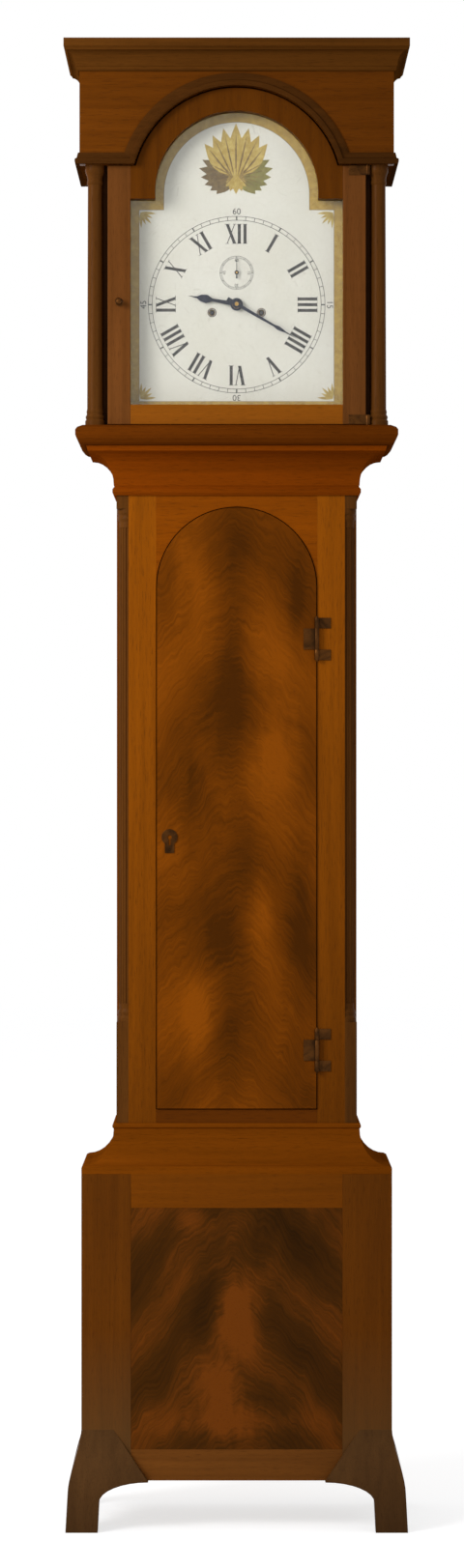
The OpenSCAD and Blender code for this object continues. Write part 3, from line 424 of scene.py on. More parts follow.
wander = drawn_noise(crotch, given["Vector"], (7, 7, 3.5), 3)
drift = drawn_noise(crotch, given["Vector"], (26, 26, 8), 3)
parts = node(crotch, "SeparateXYZ", {0: given["Vector"]}).outputs
side = maths(crotch, "ADD", parts["X"], weighed(crotch, -0.045, (wander, 0.09)))
squared = maths(crotch, "MULTIPLY", side, side)
rounded = maths(crotch, "SQRT", weighed(crotch, squared, (given["Round"], given["Round"])))
climb = weighed(crotch, parts["Z"], (rounded, given["Rise"]), (drift, 0.06))
turns = maths(crotch, "DIVIDE", climb, given["Pitch"])
arches = maths(crotch, "SINE", maths(crotch, "MULTIPLY", turns, 2 * math.pi))
fibres = combed(crotch, climb, side, (170, 16), 5, 0.6)
fleck = ramp(crotch, combed(crotch, climb, side, (1400, 130), 2, 0.5), *PORE_EDGE)
patches = drawn_noise(crotch, given["Vector"], (8, 8, 5), 2)
plume = hill(crotch, maths(crotch, "DIVIDE", side, given["Plume"]))
share = weighed(crotch, given["Glow"], (arches, 0.13), (fibres, 0.64), (patches, 0.55))
share = maths(crotch, "SUBTRACT", share, maths(crotch, "MULTIPLY", plume, given["Depth"]))
share = ramp(crotch, share, 0.22, 0.92, 0.0, 2.0)
lower = mixed(crotch, share, given["Dark"], given["Middle"])
wood = mixed(crotch, maths(crotch, "SUBTRACT", share, 1), lower, given["Light"])
pored = mixed(crotch, maths(crotch, "MULTIPLY", fleck, 0.35), wood, shade(34, 16, 4))
crotch.links.new(pored, made["Color"])
crotch.links.new(weighed(crotch, 0.2, (fibres, 0.2), (fleck, 0.15)), made["Roughness"])
crotch.links.new(weighed(crotch, 0.0, (fibres, 0.6), (fleck, -1)), made["Height"])

# A soft light or dark flame in the veneer, round a place, wider or taller as it
# is stretched.
flame, given, made = new_group(
    "flame", {"Vector": "Vector", "Place": "Vector", "Size": "Vector", "Amount": "Float",
              "Before": "Float"}, {"Glow": "Float"})
ragged = drawn_noise(flame, given["Vector"], (38, 38, 14), 3, 0.6)
off = node(flame, "VectorMath", {0: given["Vector"], 1: given["Place"]}, operation="SUBTRACT")
scaled = node(flame, "VectorMath", {0: off.outputs[0], 1: given["Size"]}, operation="DIVIDE")
far = node(flame, "VectorMath", {0: scaled.outputs[0]}, operation="LENGTH").outputs["Value"]
near = hill(flame, maths(flame, "ADD", far, weighed(flame, -0.7, (ragged, 1.4))))
flame.links.new(weighed(flame, given["Before"], (near, given["Amount"])), made["Glow"])


def veneer(name, foot, colours, figure, flames):
    """Crotch veneer laid with the foot of its plume at a place. Each of its flames is given by
    x, z, width, height and amount."""
    material, tree, shader = finish_of(name, specular=0.025)
    place = node(tree, "TexCoord").outputs["Object"]
    moved = node(tree, "Mapping", {"Vector": place, "Location": [-c for c in foot]}).outputs[0]
    glow = 0.0
    for x, z, wide, tall, amount in flames:
        glow = place_in(tree, flame, {"Vector": place, "Place": (x, foot[1], z),
                                      "Size": (wide, 1, tall), "Amount": amount,
                                      "Before": glow})["Glow"]
    values = dict(zip(("Light", "Middle", "Dark"), (shade(*c) for c in colours)))
    wood = place_in(tree, crotch, {"Vector": moved, "Glow": glow, **values, **figure})
    coat(tree, shader, bleached(tree, place, wood["Color"]), wood["Roughness"], wood["Height"],
         0.0002, 0.2)
    return material


dress(veneer("base_crotch", (0.0, 0, 0.31), ((118, 60, 12), (74, 40, 6), (46, 25, 3)),
             {"Pitch": 0.17, "Rise": 1.3, "Round": 0.04, "Plume": 0.05, "Depth": 0.0},
             [(0.0, 0.325, 0.028, 0.055, 0.75), (-0.028, 0.205, 0.03, 0.05, 0.6),
              (-0.066, 0.465, 0.025, 0.025, 0.4), (0.0, 0.162, 0.1, 0.022, 0.4),
              (0.09, 0.42, 0.06, 0.07, -0.2), (-0.05, 0.33, 0.03, 0.14, -0.16),
              (0.024, 0.42, 0.03, 0.04, -0.24)]),
      eased("base_panel", 0.0004))

# The trunk

# Two side boards and a front frame with an arched doorway. Fluted quarter
# columns fill its corners, and mouldings cover the joints above and below.
dress(board("trunk_side_boards", (134, 70, 10), (90, 45, 5), start=(0.2, 0.1, 0), specular=0.01),
      eased("trunk_sides"))
door_low, door_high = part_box("trunk_door")
DOOR_ARCH_Z = door_high.z - door_high.x
FRAME_GAP = 0.0014
# The trunk stiles darken towards the bottom.
frame_of("trunk_front_frame", door_high.x + FRAME_GAP, door_low.z, DOOR_ARCH_Z,
         stiles=board("trunk_stiles", (168, 90, 9), (120, 62, 5), start=(0.4, 0, 0.2),
                      fade=(0.62, 1.30, 0.42, (40, 20, 4))),
         rails=board("trunk_foot_rail", (116, 57, 6), (84, 41, 4), "across", start=(0.5, 0, 0)),
         head_rail=board("trunk_head_rail", (158, 79, 4), (118, 57, 3), "across"))
dress(board("column_wood", (112, 66, 22), (68, 38, 12), start=(0.1, 0.2, 0)),
      "quarter_columns", "hood_columns")
dress(board("throat_wood", (148, 68, 5), (106, 48, 4), "across", start=(0.3, 0, 0), specular=0.0),
      "throat_moulding")

# The trunk door: one board faced with the longest crotch, an ovolo worked
# round its edge, hung on two brass butts and locked at its left.
# The last flame, tall, thin and dark, runs down the door beside its hinges: painted shade.
dress(veneer("door_crotch", (-0.004, 0, 0.62), ((146, 75, 6), (114, 57, 3), (78, 39, 2)),
             {"Pitch": 0.26, "Rise": 1.35, "Round": 0.045, "Plume": 0.03, "Depth": 0.17},
             [(0.055, 1.30, 0.028, 0.06, 0.22), (0.058, 1.165, 0.034, 0.056, 0.5),
              (0.036, 0.915, 0.03, 0.045, 0.4), (-0.06, 0.755, 0.03, 0.06, 0.42),
              (-0.068, 1.44, 0.03, 0.065, 0.32), (-0.01, 1.31, 0.026, 0.13, -0.22),
              (-0.064, 1.09, 0.034, 0.07, -0.42), (0.09, 1.39, 0.015, 0.06, -0.3),
              (-0.03, 0.87, 0.036, 0.06, -0.34), (0.10, 0.80, 0.025, 0.25, -0.3)]),
      eased("trunk_door", 0.0026))

# The hood

# It slides off forwards: a base frame with its moulding, two side boards, two
# turned columns, a front board sawn to an arch, and a cornice round a well.
dress(board("hood_base_wood", (118, 57, 8), (82, 38, 4), "across", specular=0.0), "hood_base")
dress(board("hood_side_boards", (106, 58, 14), (64, 33, 7), specular=0.0), eased("hood_sides"))
dress(board("front_board_wood", (118, 62, 9), (78, 38, 3), "across", start=(0.2, 0, 0.3)),
      "hood_tympanum")
dress(board("arch_wood", (92, 52, 17), (56, 32, 11), "across", specular=0.0),
      "hood_arch_moulding")
dress(board("cornice_wood", (110, 64, 20), (74, 42, 12), "across", start=(0.5, 0, 0),
            specular=0.0), "hood_cornice")
dress(board("mask_wood", (78, 44, 16), (48, 27, 9)), "dial_mask")

# Its door is two stiles, a foot rail and a round-headed top board, with a
# rebate all round its opening for the pane.
glass_low, glass_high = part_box("hood_glass")
REBATE, HEAD_BOARD_Z = 0.006, 1.990
SIGHT_HALF, SIGHT_FOOT, SIGHT_HEAD = (glass_high.x - REBATE, glass_low.z + REBATE,
                                      glass_high.z - REBATE)
frame_of("hood_door", SIGHT_HALF, SIGHT_FOOT, HEAD_BOARD_Z,
         stiles=board("hood_door_stiles", (132, 78, 34), (88, 50, 18), start=(0.6, 0, 0)),
         rails=board("hood_door_foot", (164, 92, 20), (124, 69, 13), "across", start=(0.6, 0, 0)),
         head_rail=board("hood_door_head", (112, 60, 8), (76, 38, 4), start=(0.1, 0, 0.4)))

# Blown glass, a little green and a little wavy. It lets nearly all of the light
# through, so the dial behind it isn't left in the dark.
LET_THROUGH = 0.95
pane, tree, shader = finish_of("old_crown_glass", rough=0.03, specular=0.5)
shader.inputs["Base Color"].default_value = (0.97, 0.985, 0.97, 1)
shader.inputs["Transmission Weight"].default_value = 1.0
shader.inputs["IOR"].default_value = 1.45
ripple = drawn_noise(tree, node(tree, "TexCoord").outputs["Object"], (9, 9, 5), 1)
relief(tree, shader, ripple, 0.0008, 0.12)
shadowed = tree.nodes.new("ShaderNodeLightPath").outputs["Is Shadow Ray"]
clear = maths(tree, "SUBTRACT", 1.0, maths(tree, "MULTIPLY", shadowed, LET_THROUGH))
tree.links.new(clear, shader.inputs["Alpha"])
dress(pane, "hood_glass")

# The dial

# Sheet iron painted white and stoved hard, with a web of the finest cracks. Its
# numerals and rings are black, its border, corners and arch are gilt.
enamel, tree, shader = finish_of("stoved_paint", specular=0.4)
place = node(tree, "TexCoord").outputs["Object"]
webbed = node(tree, "TexVoronoi", {"Vector": place, "Scale": 95.0, "Randomness": 1.0},
              feature="DISTANCE_TO_EDGE")
crack = ramp(tree, webbed.outputs["Distance"], 0.0, 0.02, 1.0, 0.0)
yellowed = drawn_noise(tree, place, (11, 11, 9), 4)
clean = mixed(tree, yellowed, shade(204, 201, 194), shade(187, 182, 169))
cracked = mixed(tree, maths(tree, "MULTIPLY", crack, 0.22), clean, shade(120, 104, 80))
coat(tree, shader, cracked, weighed(tree, 0.22, (yellowed, 0.22)), crack, 0.0001, 0.25)
dress(enamel, "dial")

DIAL_Z, DIAL_FRONT = 1.836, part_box("dial")[0].y
THICK_PAINT, THIN_PAINT, HAIR_PAINT = 0.00016, 0.00013, 0.0001
LET_IN = 0.00013


def thicken(bm, faces, depth):
    """Flat faces drawn out along y into a solid."""
    drawn = bmesh.ops.extrude_face_region(bm, geom=faces)["geom"]
    corners = [v for v in drawn if isinstance(v, bmesh.types.BMVert)]
    bmesh.ops.translate(bm, verts=corners, vec=(0, depth, 0))


def plate(bm, points, near, far):
    """A flat outline of x and z points, drawn out from y near to y far."""
    thicken(bm, [bm.faces.new([bm.verts.new((x, near, z)) for x, z in points])], far - near)


def patch(bm, points, thick):
    """A patch of paint that stands this thick on the dial, and is let into it."""
    plate(bm, points, DIAL_FRONT - thick, DIAL_FRONT + LET_IN)


def set_at(points, turn, x, z):
    """Points of x and z, turned clockwise about nought and then set at a place."""
    sine, cosine = math.sin(turn), math.cos(turn)
    return [(x + u * cosine + v * sine, z + v * cosine - u * sine) for u, v in points]


def arc(radius, start, sweep, steps):
    """Points of x and z about nought, from a start angle on through a sweep."""
    angles = [start + sweep * i / steps for i in range(steps + 1)]
    return [(radius * math.cos(a), radius * math.sin(a)) for a in angles]


def ring(bm, x, z, radius, width, thick, steps=120):
    """A ring of a radius and a line width round a centre, standing this thick on the dial."""
    inner, outer = z + radius - width / 2, z + radius + width / 2
    front, back = DIAL_FRONT - thick, DIAL_FRONT + LET_IN
    corners = [bm.verts.new((x, y, up))
               for up, y in ((inner, front), (outer, front), (outer, back), (inner, back))]
    section = corners + [bm.edges.new((corners[k - 1], corners[k])) for k in range(4)]
    bmesh.ops.spin(bm, geom=section, cent=(x, 0, z), axis=(0, 1, 0), angle=2 * math.pi,
                   steps=steps, use_merge=True)


def add_piece(bm, name, body, material):
    """Turns a bmesh into a piece of its own that rides on a body, with its finish."""
    bmesh.ops.recalc_face_normals(bm, faces=bm.faces)
    piece = keep(bm, name)
    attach(piece, body)
    dress(material, piece)


def painted(bm, name, material):
    """Turns patches of paint into a piece that rides with the dial."""
    add_piece(bm, name, "case", material)


def pigment(name, lower_tone, full, rough=0.45):
    """Brushed-on colour, thinner here and there."""
    material, tree, shader = finish_of(name, specular=0.3)
    thin = drawn_noise(tree, node(tree, "TexCoord").outputs["Object"], (160, 160, 160), 4, 0.6)
    colour = mixed(tree, ramp(tree, thin, 0.4, 0.75), shade(*full), shade(*lower_tone))
    coat(tree, shader, colour, weighed(tree, rough - 0.15, (thin, 0.3)), thin, 0.00005, 0.3)
    return material


# Roman letters: each stroke by x at its foot, x at its head, width and paint,
# each serif by x, width and height on the dial.
FOOT, HEAD, SPREAD = 0.092, 0.121, 0.00545
BROAD, FINE, SERIF = 0.0046, 0.0013, 0.0007
STROKES = {"I": [(0, 0, BROAD, THICK_PAINT)],
           "V": [(0, -SPREAD, BROAD, THICK_PAINT), (0, SPREAD, FINE, THIN_PAINT)],
           "X": [(SPREAD, -SPREAD, BROAD, THICK_PAINT), (-SPREAD, SPREAD, FINE, THIN_PAINT)]}
TOP_SERIFS = [(-SPREAD, 0.0078, HEAD), (SPREAD, 0.0050, HEAD)]
SERIFS = {"I": [(0, 0.0072, FOOT), (0, 0.0072, HEAD)],
          "V": TOP_SERIFS,
          "X": TOP_SERIFS + [(SPREAD, 0.0078, FOOT), (-SPREAD, 0.0050, FOOT)]}
LETTER_WIDTH = {"I": 0.0086, "V": 0.0165, "X": 0.0165}
NUMERALS = ("XII", "I", "II", "III", "IIII", "V", "VI", "VII", "VIII", "IX", "X", "XI")


def letter(bm, kind, middle, turn):
    """One Roman letter on its radius: broad and fine strokes closed by serifs."""
    bars = [(low, FOOT, high, HEAD, width, thick) for low, high, width, thick in STROKES[kind]]
    bars += [(at, level - SERIF / 2, at, level + SERIF / 2, width, HAIR_PAINT)
             for at, width, level in SERIFS[kind]]
    for low, foot, high, head, width, thick in bars:
        left, right = middle - width / 2, middle + width / 2
        corners = ((low + left, foot), (low + right, foot), (high + right, head),
                   (high + left, head))
        patch(bm, set_at(corners, turn, 0, DIAL_Z), thick)


black = pigment("numeral_black", (74, 70, 66), (30, 29, 30))
bm = bmesh.new()
for hour, numeral in enumerate(NUMERALS):
    left = -sum(LETTER_WIDTH[c] for c in numeral) / 2
    for c in numeral:
        letter(bm, c, left + LETTER_WIDTH[c] / 2, hour * math.pi / 6)
        left += LETTER_WIDTH[c]
painted(bm, "dial_numerals", black)

# The minute track outside the numerals and the seconds ring above the centre:
# two fine rings each, with sixty ticks between them, every fifth one broader.
SECONDS_Z, BROAD_TICK = 1.884, 2.4
bm = bmesh.new()
for z, inner, outer, line in ((DIAL_Z, 0.1270, 0.1328, 0.0008),
                              (SECONDS_Z, 0.0222, 0.0252, 0.0004)):
    ring(bm, 0, z, inner, line, HAIR_PAINT)
    ring(bm, 0, z, outer, line, HAIR_PAINT)
    for tick in range(60):
        half = line * (1.0 if tick % 5 else BROAD_TICK) / 2
        corners = ((-half, inner), (half, inner), (half, outer), (-half, outer))
        patch(bm, set_at(corners, tick * math.pi / 30, 0, z), THIN_PAINT)
painted(bm, "dial_minute_track", black)

# Figures stand at every quarter, outside the minute track and inside the seconds
# ring. A figure's height is this share of the size of its type.
QUARTER, FIGURE_SHARE = 15, 0.7
bm = bmesh.new()
for z, radius, tall in ((DIAL_Z, 0.1398, 0.0090), (SECONDS_Z, 0.0186, 0.0044)):
    for value in range(QUARTER, 61, QUARTER):
        text = bpy.data.curves.new("figure", "FONT")
        text.body = str(value)
        text.size = tall / FIGURE_SHARE
        text.extrude = THIN_PAINT
        text.align_x, text.align_y = "CENTER", "CENTER"
        sign = bpy.data.objects.new("figure", text)
        flat = bpy.data.meshes.new_from_object(sign)
        turn = value * math.pi / 30
        [(x, up)] = set_at([(0, radius)], turn, 0, z)
        flat.transform(Matrix.Translation((x, DIAL_FRONT, up)) @ Matrix.Rotation(turn, 4, "Y")
                       @ Matrix.Rotation(math.pi / 2, 4, "X"))
        bm.from_mesh(flat)
        bpy.data.objects.remove(sign)
        bpy.data.curves.remove(text)
        bpy.data.meshes.remove(flat)
bmesh.ops.remove_doubles(bm, verts=bm.verts, dist=1e-7)
painted(bm, "dial_figures", black)

LEAF_STEPS, FULLNESS, TAPER = 7, 1.15, 0.3


def leaf(bm, x, z, turn, long, wide, thick):
    """A painted leaf that springs from a place, pointed at both ends, fuller near its foot."""
    shares = [i / LEAF_STEPS for i in range(LEAF_STEPS + 1)]
    side = [(wide / 2 * math.sin(math.pi * t) * (FULLNESS - TAPER * t), long * t) for t in shares]
    outline = side + [(-u, v) for u, v in side[-2:0:-1]]
    patch(bm, set_at(outline, turn, x, z), thick)


# A gilt palmette over two sprays of leaves fills the arch, one brown, one olive.
# Each leaf is given by its foot, turn, length and width, and has a thin rib.
PALM_X, PALM_Z = -0.001, 2.028
GOLD, RIBS, BROWN, OLIVE, BUD = ("gilt_palm", "palm_ribs", "brown_leaves", "olive_leaves",
                                 "gilt_buds")
PALM_GAP, PALM_SPREAD, PALM_LONG, PALM_SHORTER, PALM_WIDE = 0.0024, 0.225, 0.081, 0.0056, 0.0235
SPRAY_X, SPRAY_Z, SPRAY_TURN, SPRAY_SPREAD = 0.004, PALM_Z + 0.001, 0.82, 0.26
SPRAY_LONG, SPRAY_SHORTER, SPRAY_WIDE, LONGEST = 0.055, 0.0040, 0.0185, 1.5
BUD_Z, BUD_SPREAD, BUD_LONG, BUD_SHORTER, BUD_WIDE = PALM_Z + 0.004, 0.34, 0.030, 0.003, 0.012
PALM_RIB, SPRAY_RIB = (0.86, 0.0024), (0.8, 0.0016)
sprays = {GOLD: [], RIBS: [], BROWN: [], OLIVE: [], BUD: []}
for n in range(-3, 4):
    foot, turn, long = PALM_X + n * PALM_GAP, n * PALM_SPREAD, PALM_LONG - abs(n) * PALM_SHORTER
    sprays[GOLD].append((foot, PALM_Z, turn, long, PALM_WIDE))
    sprays[RIBS].append((foot, PALM_Z, turn, long * PALM_RIB[0], PALM_RIB[1]))
for side, label in ((-1, BROWN), (1, OLIVE)):
    foot = PALM_X + side * SPRAY_X
    for n in range(7):
        turn = side * (SPRAY_TURN + SPRAY_SPREAD * n)
        long = SPRAY_LONG - SPRAY_SHORTER * abs(n - LONGEST)
        sprays[label].append((foot, SPRAY_Z, turn, long, SPRAY_WIDE))
        sprays[RIBS].append((foot, SPRAY_Z, turn, long * SPRAY_RIB[0], SPRAY_RIB[1]))
for n in range(-2, 3):
    sprays[BUD].append((PALM_X, BUD_Z, math.pi + n * BUD_SPREAD, BUD_LONG - abs(n) * BUD_SHORTER,
                        BUD_WIDE))
gilding = pigment("dial_gilding", (180, 158, 88), (150, 124, 52), 0.42)
leaf_paints = {GOLD: gilding, RIBS: pigment("palm_rib_brown", (122, 96, 46), (92, 68, 28)),
               BROWN: pigment("leaf_brown", (110, 90, 50), (84, 64, 30)),
               OLIVE: pigment("leaf_olive", (126, 118, 56), (102, 94, 36)), BUD: gilding}

# One layer is painted over another, and no two leaves that cross are level.
LAYER = {BROWN: 0, OLIVE: 0, BUD: 0.00004, GOLD: 0.00008, RIBS: 0.00016}
LEVEL, LEVELS = 0.000005, 11
for label, leaves in sprays.items():
    bm = bmesh.new()
    for n, sizes in enumerate(leaves):
        leaf(bm, *sizes, HAIR_PAINT + LAYER[label] + LEVEL * (n % LEVELS))
    painted(bm, "dial_" + label, leaf_paints[label])

# Each corner of the dial carries a small gilt fan of five leaves that opens
# inwards, every second leaf a little shorter.
FAN_X, FAN_LOW, FAN_HIGH, FAN_SPREAD = 0.1448, 1.6945, 1.9745, 0.36
FAN_LONG, FAN_SHORT, FAN_WIDE = 0.024, 0.020, 0.0042
bm = bmesh.new()
for side in (-1, 1):
    for z, up in ((FAN_LOW, 1), (FAN_HIGH, -1)):
        for n in range(5):
            turn = math.atan2(-side, up) + (n - 2) * FAN_SPREAD
            leaf(bm, side * FAN_X, z, turn, FAN_SHORT if n % 2 else FAN_LONG, FAN_WIDE,
                 HAIR_PAINT + 2 * LEVEL * n)
painted(bm, "dial_corner_fans", gilding)

# A band of old gilding, lined inside with brown, borders all that the opening of
# the door shows of the dial. It is narrower along the foot, where the minute
# figures come near.
BAND, FOOT_SHARE, HIDDEN, LINING = 0.0122, 0.6, 0.002, 0.0006
SIGHT_SPRING, ARCH_STEPS = 2.001, 48
SIGHT_SHOULDER = SIGHT_SPRING - 0.010


def sight_loop(bm, inside):
    """A closed line on the dial, this far inside the edge of the opening."""
    half, foot = SIGHT_HALF - inside, SIGHT_FOOT + inside * FOOT_SHARE
    arch, level = SIGHT_HEAD - SIGHT_SPRING - inside, SIGHT_SHOULDER - inside
    points = [(-half, level), (-half, foot), (half, foot), (half, level), (arch, level)]
    points += set_at(arc(arch, 0, math.pi, ARCH_STEPS), 0, 0, SIGHT_SPRING) + [(-arch, level)]
    loop = [bm.verts.new((x, DIAL_FRONT + LET_IN, z)) for x, z in points]
    return [bm.edges.new((loop[i - 1], loop[i])) for i in range(len(loop))]


border_gilding = pigment("border_gilding", (174, 143, 60), (148, 116, 38), 0.42)
for name, outer, inner, material in (
        ("dial_gilt_border", -HIDDEN, BAND, border_gilding),
        ("dial_border_lining", BAND, BAND + LINING, leaf_paints[BROWN])):
    bm = bmesh.new()
    edges = sight_loop(bm, outer) + sight_loop(bm, inner)
    thicken(bm, bmesh.ops.bridge_loops(bm, edges=edges)["faces"], -LET_IN - HAIR_PAINT)
    painted(bm, name, material)

# Metal that has been handled: fine brushing one way, duller patches where it
# has tarnished, small dark pits. Every metal of the clock takes it.
brushed, given, made = new_group(
    "worked_metal",
    {"Vector": "Vector", "Bright": "Color", "Dull": "Color", "Tarnish": "Float",
     "Smooth": "Float", "Grit": "Float"},
    FINISH)
lines = drawn_noise(brushed, given["Vector"], (60, 900, 2400), 3, 0.6)
cloud = drawn_noise(brushed, given["Vector"], (38, 38, 38), 5, 0.62, 0.8)
pits = drawn_noise(brushed, given["Vector"], (620, 620, 620), 2, 0.5)
pit = ramp(brushed, pits, 0.64, 0.74)
stain = maths(brushed, "MULTIPLY", ramp(brushed, cloud, 0.42, 0.66), given["Tarnish"])
stain = node(brushed, "Clamp", {"Value": weighed(brushed, stain, (pit, 0.35))}).outputs[0]
brushed.links.new(mixed(brushed, stain, given["Bright"], given["Dull"]), made["Color"])
brushed.links.new(weighed(brushed, given["Smooth"], (lines, 0.14), (stain, 0.22)),
                  made["Roughness"])
scratch = weighed(brushed, 0.0, (lines, 0.5), (pit, -1))
brushed.links.new(maths(brushed, "MULTIPLY", scratch, given["Grit"]), made["Height"])


def metal(name, bright, dull, tarnish, smooth, grit=1.0, turned=(0, 0, 0), metallic=1.0):
    """A worked metal of two colours, its brushing turned to suit the piece."""
    material, tree, shader = finish_of(name, metallic=metallic, specular=0.5)
    place = node(tree, "TexCoord").outputs["Object"]
    vector = node(tree, "Mapping", {"Vector": place, "Rotation": turned}).outputs[0]
    worked = place_in(tree, brushed, {"Vector": vector, "Bright": shade(*bright),
                                      "Dull": shade(*dull), "Tarnish": tarnish,
                                      "Smooth": smooth, "Grit": grit})
    coat(tree, shader, worked["Color"], worked["Roughness"], worked["Height"], 0.00006, 0.35)
    return material


lacquered = metal("lacquered_brass", (214, 172, 92), (150, 108, 48), 0.75, 0.16)
# Aged brass: brown with patina, and darker still as painted shade.
brass_patina_and_shade = metal("aged_brass_and_painted_shade", (80, 48, 20), (42, 26, 13), 0.9, 0.28, 1.4)

# The barrels are wound through two holes of the dial, lined with brass collets.
BARREL_X, BARREL_Z = 0.037, 1.824
COLLET_RADIUS, COLLET_WIDTH, COLLET_STEPS = 0.0062, 0.0011, 48
bm = bmesh.new()
for x in (-BARREL_X, BARREL_X):
    ring(bm, x, BARREL_Z, COLLET_RADIUS, COLLET_WIDTH, 2 * THIN_PAINT, COLLET_STEPS)
add_piece(bm, "winding_collets", "case", brass_patina_and_shade)

# In the holes the barrel arbors end in squares of steel filed for the key,
# coloured near black as painted shade of the holes. Each square stands forward
# of a round shoulder.
painted_shade_steel = metal("steel_dark_as_painted_shade", (70, 66, 62), (34, 30, 28), 0.9, 0.34)
ARBOR_HALF, SHOULDER_RADIUS, SHOULDER_STEPS = 0.0021, 0.0032, 24
ARBOR_START, ARBOR_END, SHOULDER_END = (DIAL_FRONT + 0.0001, DIAL_FRONT + 0.0009,
                                        DIAL_FRONT + 0.0013)
LAP = 0.0001
square = [(ARBOR_HALF * u, ARBOR_HALF * v) for u, v in ((-1, -1), (1, -1), (1, 1), (-1, 1))]
shoulder = arc(SHOULDER_RADIUS, 0, 2 * math.pi, SHOULDER_STEPS)[:-1]
for name, x, body in (("going_winding_square", BARREL_X, "going_drum"),
                      ("strike_winding_square", -BARREL_X, "strike_drum")):
    bm = bmesh.new()
    plate(bm, set_at(square, 0, x, BARREL_Z), ARBOR_START, ARBOR_END)
    plate(bm, set_at(shoulder, 0, x, BARREL_Z), ARBOR_END - LAP, SHOULDER_END)
    add_piece(bm, name, body, painted_shade_steel)

# The hands are of steel, pierced and filed by hand, then blued in hot sand
# until they are nearly black.
dress(metal("blued_steel", (46, 50, 66), (24, 24, 30), 0.7, 0.2, 0.7),
      "minute_hand", "hour_hand", "seconds_hand")

# The case hardware has gone brown with age, and its brass is darkened further
# as painted shade: two butts with five knuckles each, a keyhole plate, the pins
# and straps of the hood door and its turned knob.
for name in ("trunk_hinge_leaves", "trunk_door_hinges", "trunk_escutcheon", "hood_door_hinges"):
    dress(brass_patina_and_shade, eased(name, 0.0003))
dress(brass_patina_and_shade, "hood_door_knob")

SCREW_RADIUS, SCREW_LIP, SCREW_TOP, SCREW_STEPS = 0.0024, 0.0004, 0.0009, 10
SLOT_EDGE = math.asin(0.16)
FIRST_TILT, NEXT_TILT = 0.4, 2.1


def fixings(name, body, places, radius=SCREW_RADIUS):
    """Slotted round heads at x, y, z places on plates that face front, each slot at its own
    tilt, in one piece that rides on a body."""
    bm = bmesh.new()
    whole = arc(radius, 0, 2 * math.pi, 2 * SCREW_STEPS)[:-1]
    halves = [arc(radius, start + SLOT_EDGE, math.pi - 2 * SLOT_EDGE, SCREW_STEPS)
              for start in (0, math.pi)]
    for n, (x, y, z) in enumerate(places):
        tilt = -FIRST_TILT - NEXT_TILT * n
        plate(bm, set_at(whole, tilt, x, z), y + LAP, y - SCREW_LIP)
        for half in halves:
            plate(bm, set_at(half, tilt, x, z), y - SCREW_LIP + LAP, y - SCREW_TOP)
    add_piece(bm, name, body, brass_patina_and_shade)


HINGE_Z = (0.714, 1.3335)
LEAF_X, LEAF_THICK, LEAF_UP = 0.133, 0.0016, 0.024
STRAP_X, STRAP_UP = 0.107, 0.0095
leaf_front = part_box("trunk_front_frame")[0].y - LEAF_THICK
lock_low, lock_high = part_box("trunk_escutcheon")
fixings("hinge_leaf_screws", "case",
        [(LEAF_X, leaf_front, z + up) for z in HINGE_Z for up in (-LEAF_UP, LEAF_UP)])
fixings("hinge_strap_screws", "trunk_door",
        [(STRAP_X, lock_low.y, z + up) for z in HINGE_Z for up in (-STRAP_UP, STRAP_UP)])

PIN_X, PIN_RADIUS = lock_low.x + 0.012, 0.0014
PIN_Z = (lock_high.z - 0.0035, lock_low.z + 0.004)
fixings("keyhole_plate_pins", "trunk_door", [(PIN_X, lock_low.y, z) for z in PIN_Z], PIN_RADIUS)

HOOD_SCREW_X, HOOD_SCREW_RADIUS = (0.1735, 0.1845), 0.002
HOOD_SCREW_Z = (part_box("hood_door")[0].z + 0.007, 2.0335)
HINGE_PIN_OUT = 0.0009
hood_strap_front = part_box("hood_door_hinges")[0].y + HINGE_PIN_OUT
fixings("hood_strap_screws", "hood_door",
        [(x, hood_strap_front, z) for x in HOOD_SCREW_X for z in HOOD_SCREW_Z],
        HOOD_SCREW_RADIUS)

# The movement

# Cast brass plates, planished and lacquered, held apart by turned pillars. The
# wheels are brass on steel arbors, the anchor and the hammer are steel.
plate_brass = metal("plate_brass", (206, 162, 84), (140, 98, 42), 0.8, 0.2, 1.2,
                    turned=(0, 0, math.pi / 2))
dress(plate_brass, eased("front_plate", 0.0003), eased("back_plate", 0.0003), "plate_pillars",
      eased("back_cock", 0.0003))
dress(lacquered, "centre_wheel", "hour_wheel", "escape_wheel", "third_wheel", "minute_wheel",
      "going_great_wheel", "going_barrel", "strike_barrel", "rating_nut")
dress(metal("polished_steel", (176, 176, 174), (104, 100, 96), 0.7, 0.18),
      "anchor", "hammer", eased("lock_bolt", 0.0004))
dress(metal("black_iron", (74, 70, 68), (46, 38, 34), 0.9, 0.42, 2.0),
      eased("trunk_lock", 0.0006))
dress(metal("bell_metal", (206, 192, 150), (140, 122, 84), 0.7, 0.14,
            turned=(math.pi / 2, 0, 0)), "bell")

# The pendulum: a steel rod on a thin spring, and a lenticular bob with a brass
# face turned on the lathe. The nut under the bob sets its height.
dress(metal("drawn_steel", (150, 148, 144), (92, 84, 76), 0.9, 0.26,
            turned=(0, math.pi / 2, 0)), "pendulum_rod")
dress(metal("bob_brass", (198, 154, 78), (120, 84, 38), 0.9, 0.22, 1.4), "pendulum_bob")

# Two lead weights, cast in a tube mould, hang in pulleys with brass stirrups.
# Handling has left the lead grey, with bright rubs and a dull bloom.
dress(metal("cast_lead", (120, 122, 128), (78, 80, 86), 1.0, 0.42, 4.0, metallic=0.85),
      "going_weight", "strike_weight")
dress(lacquered, "going_pulley", "strike_pulley")
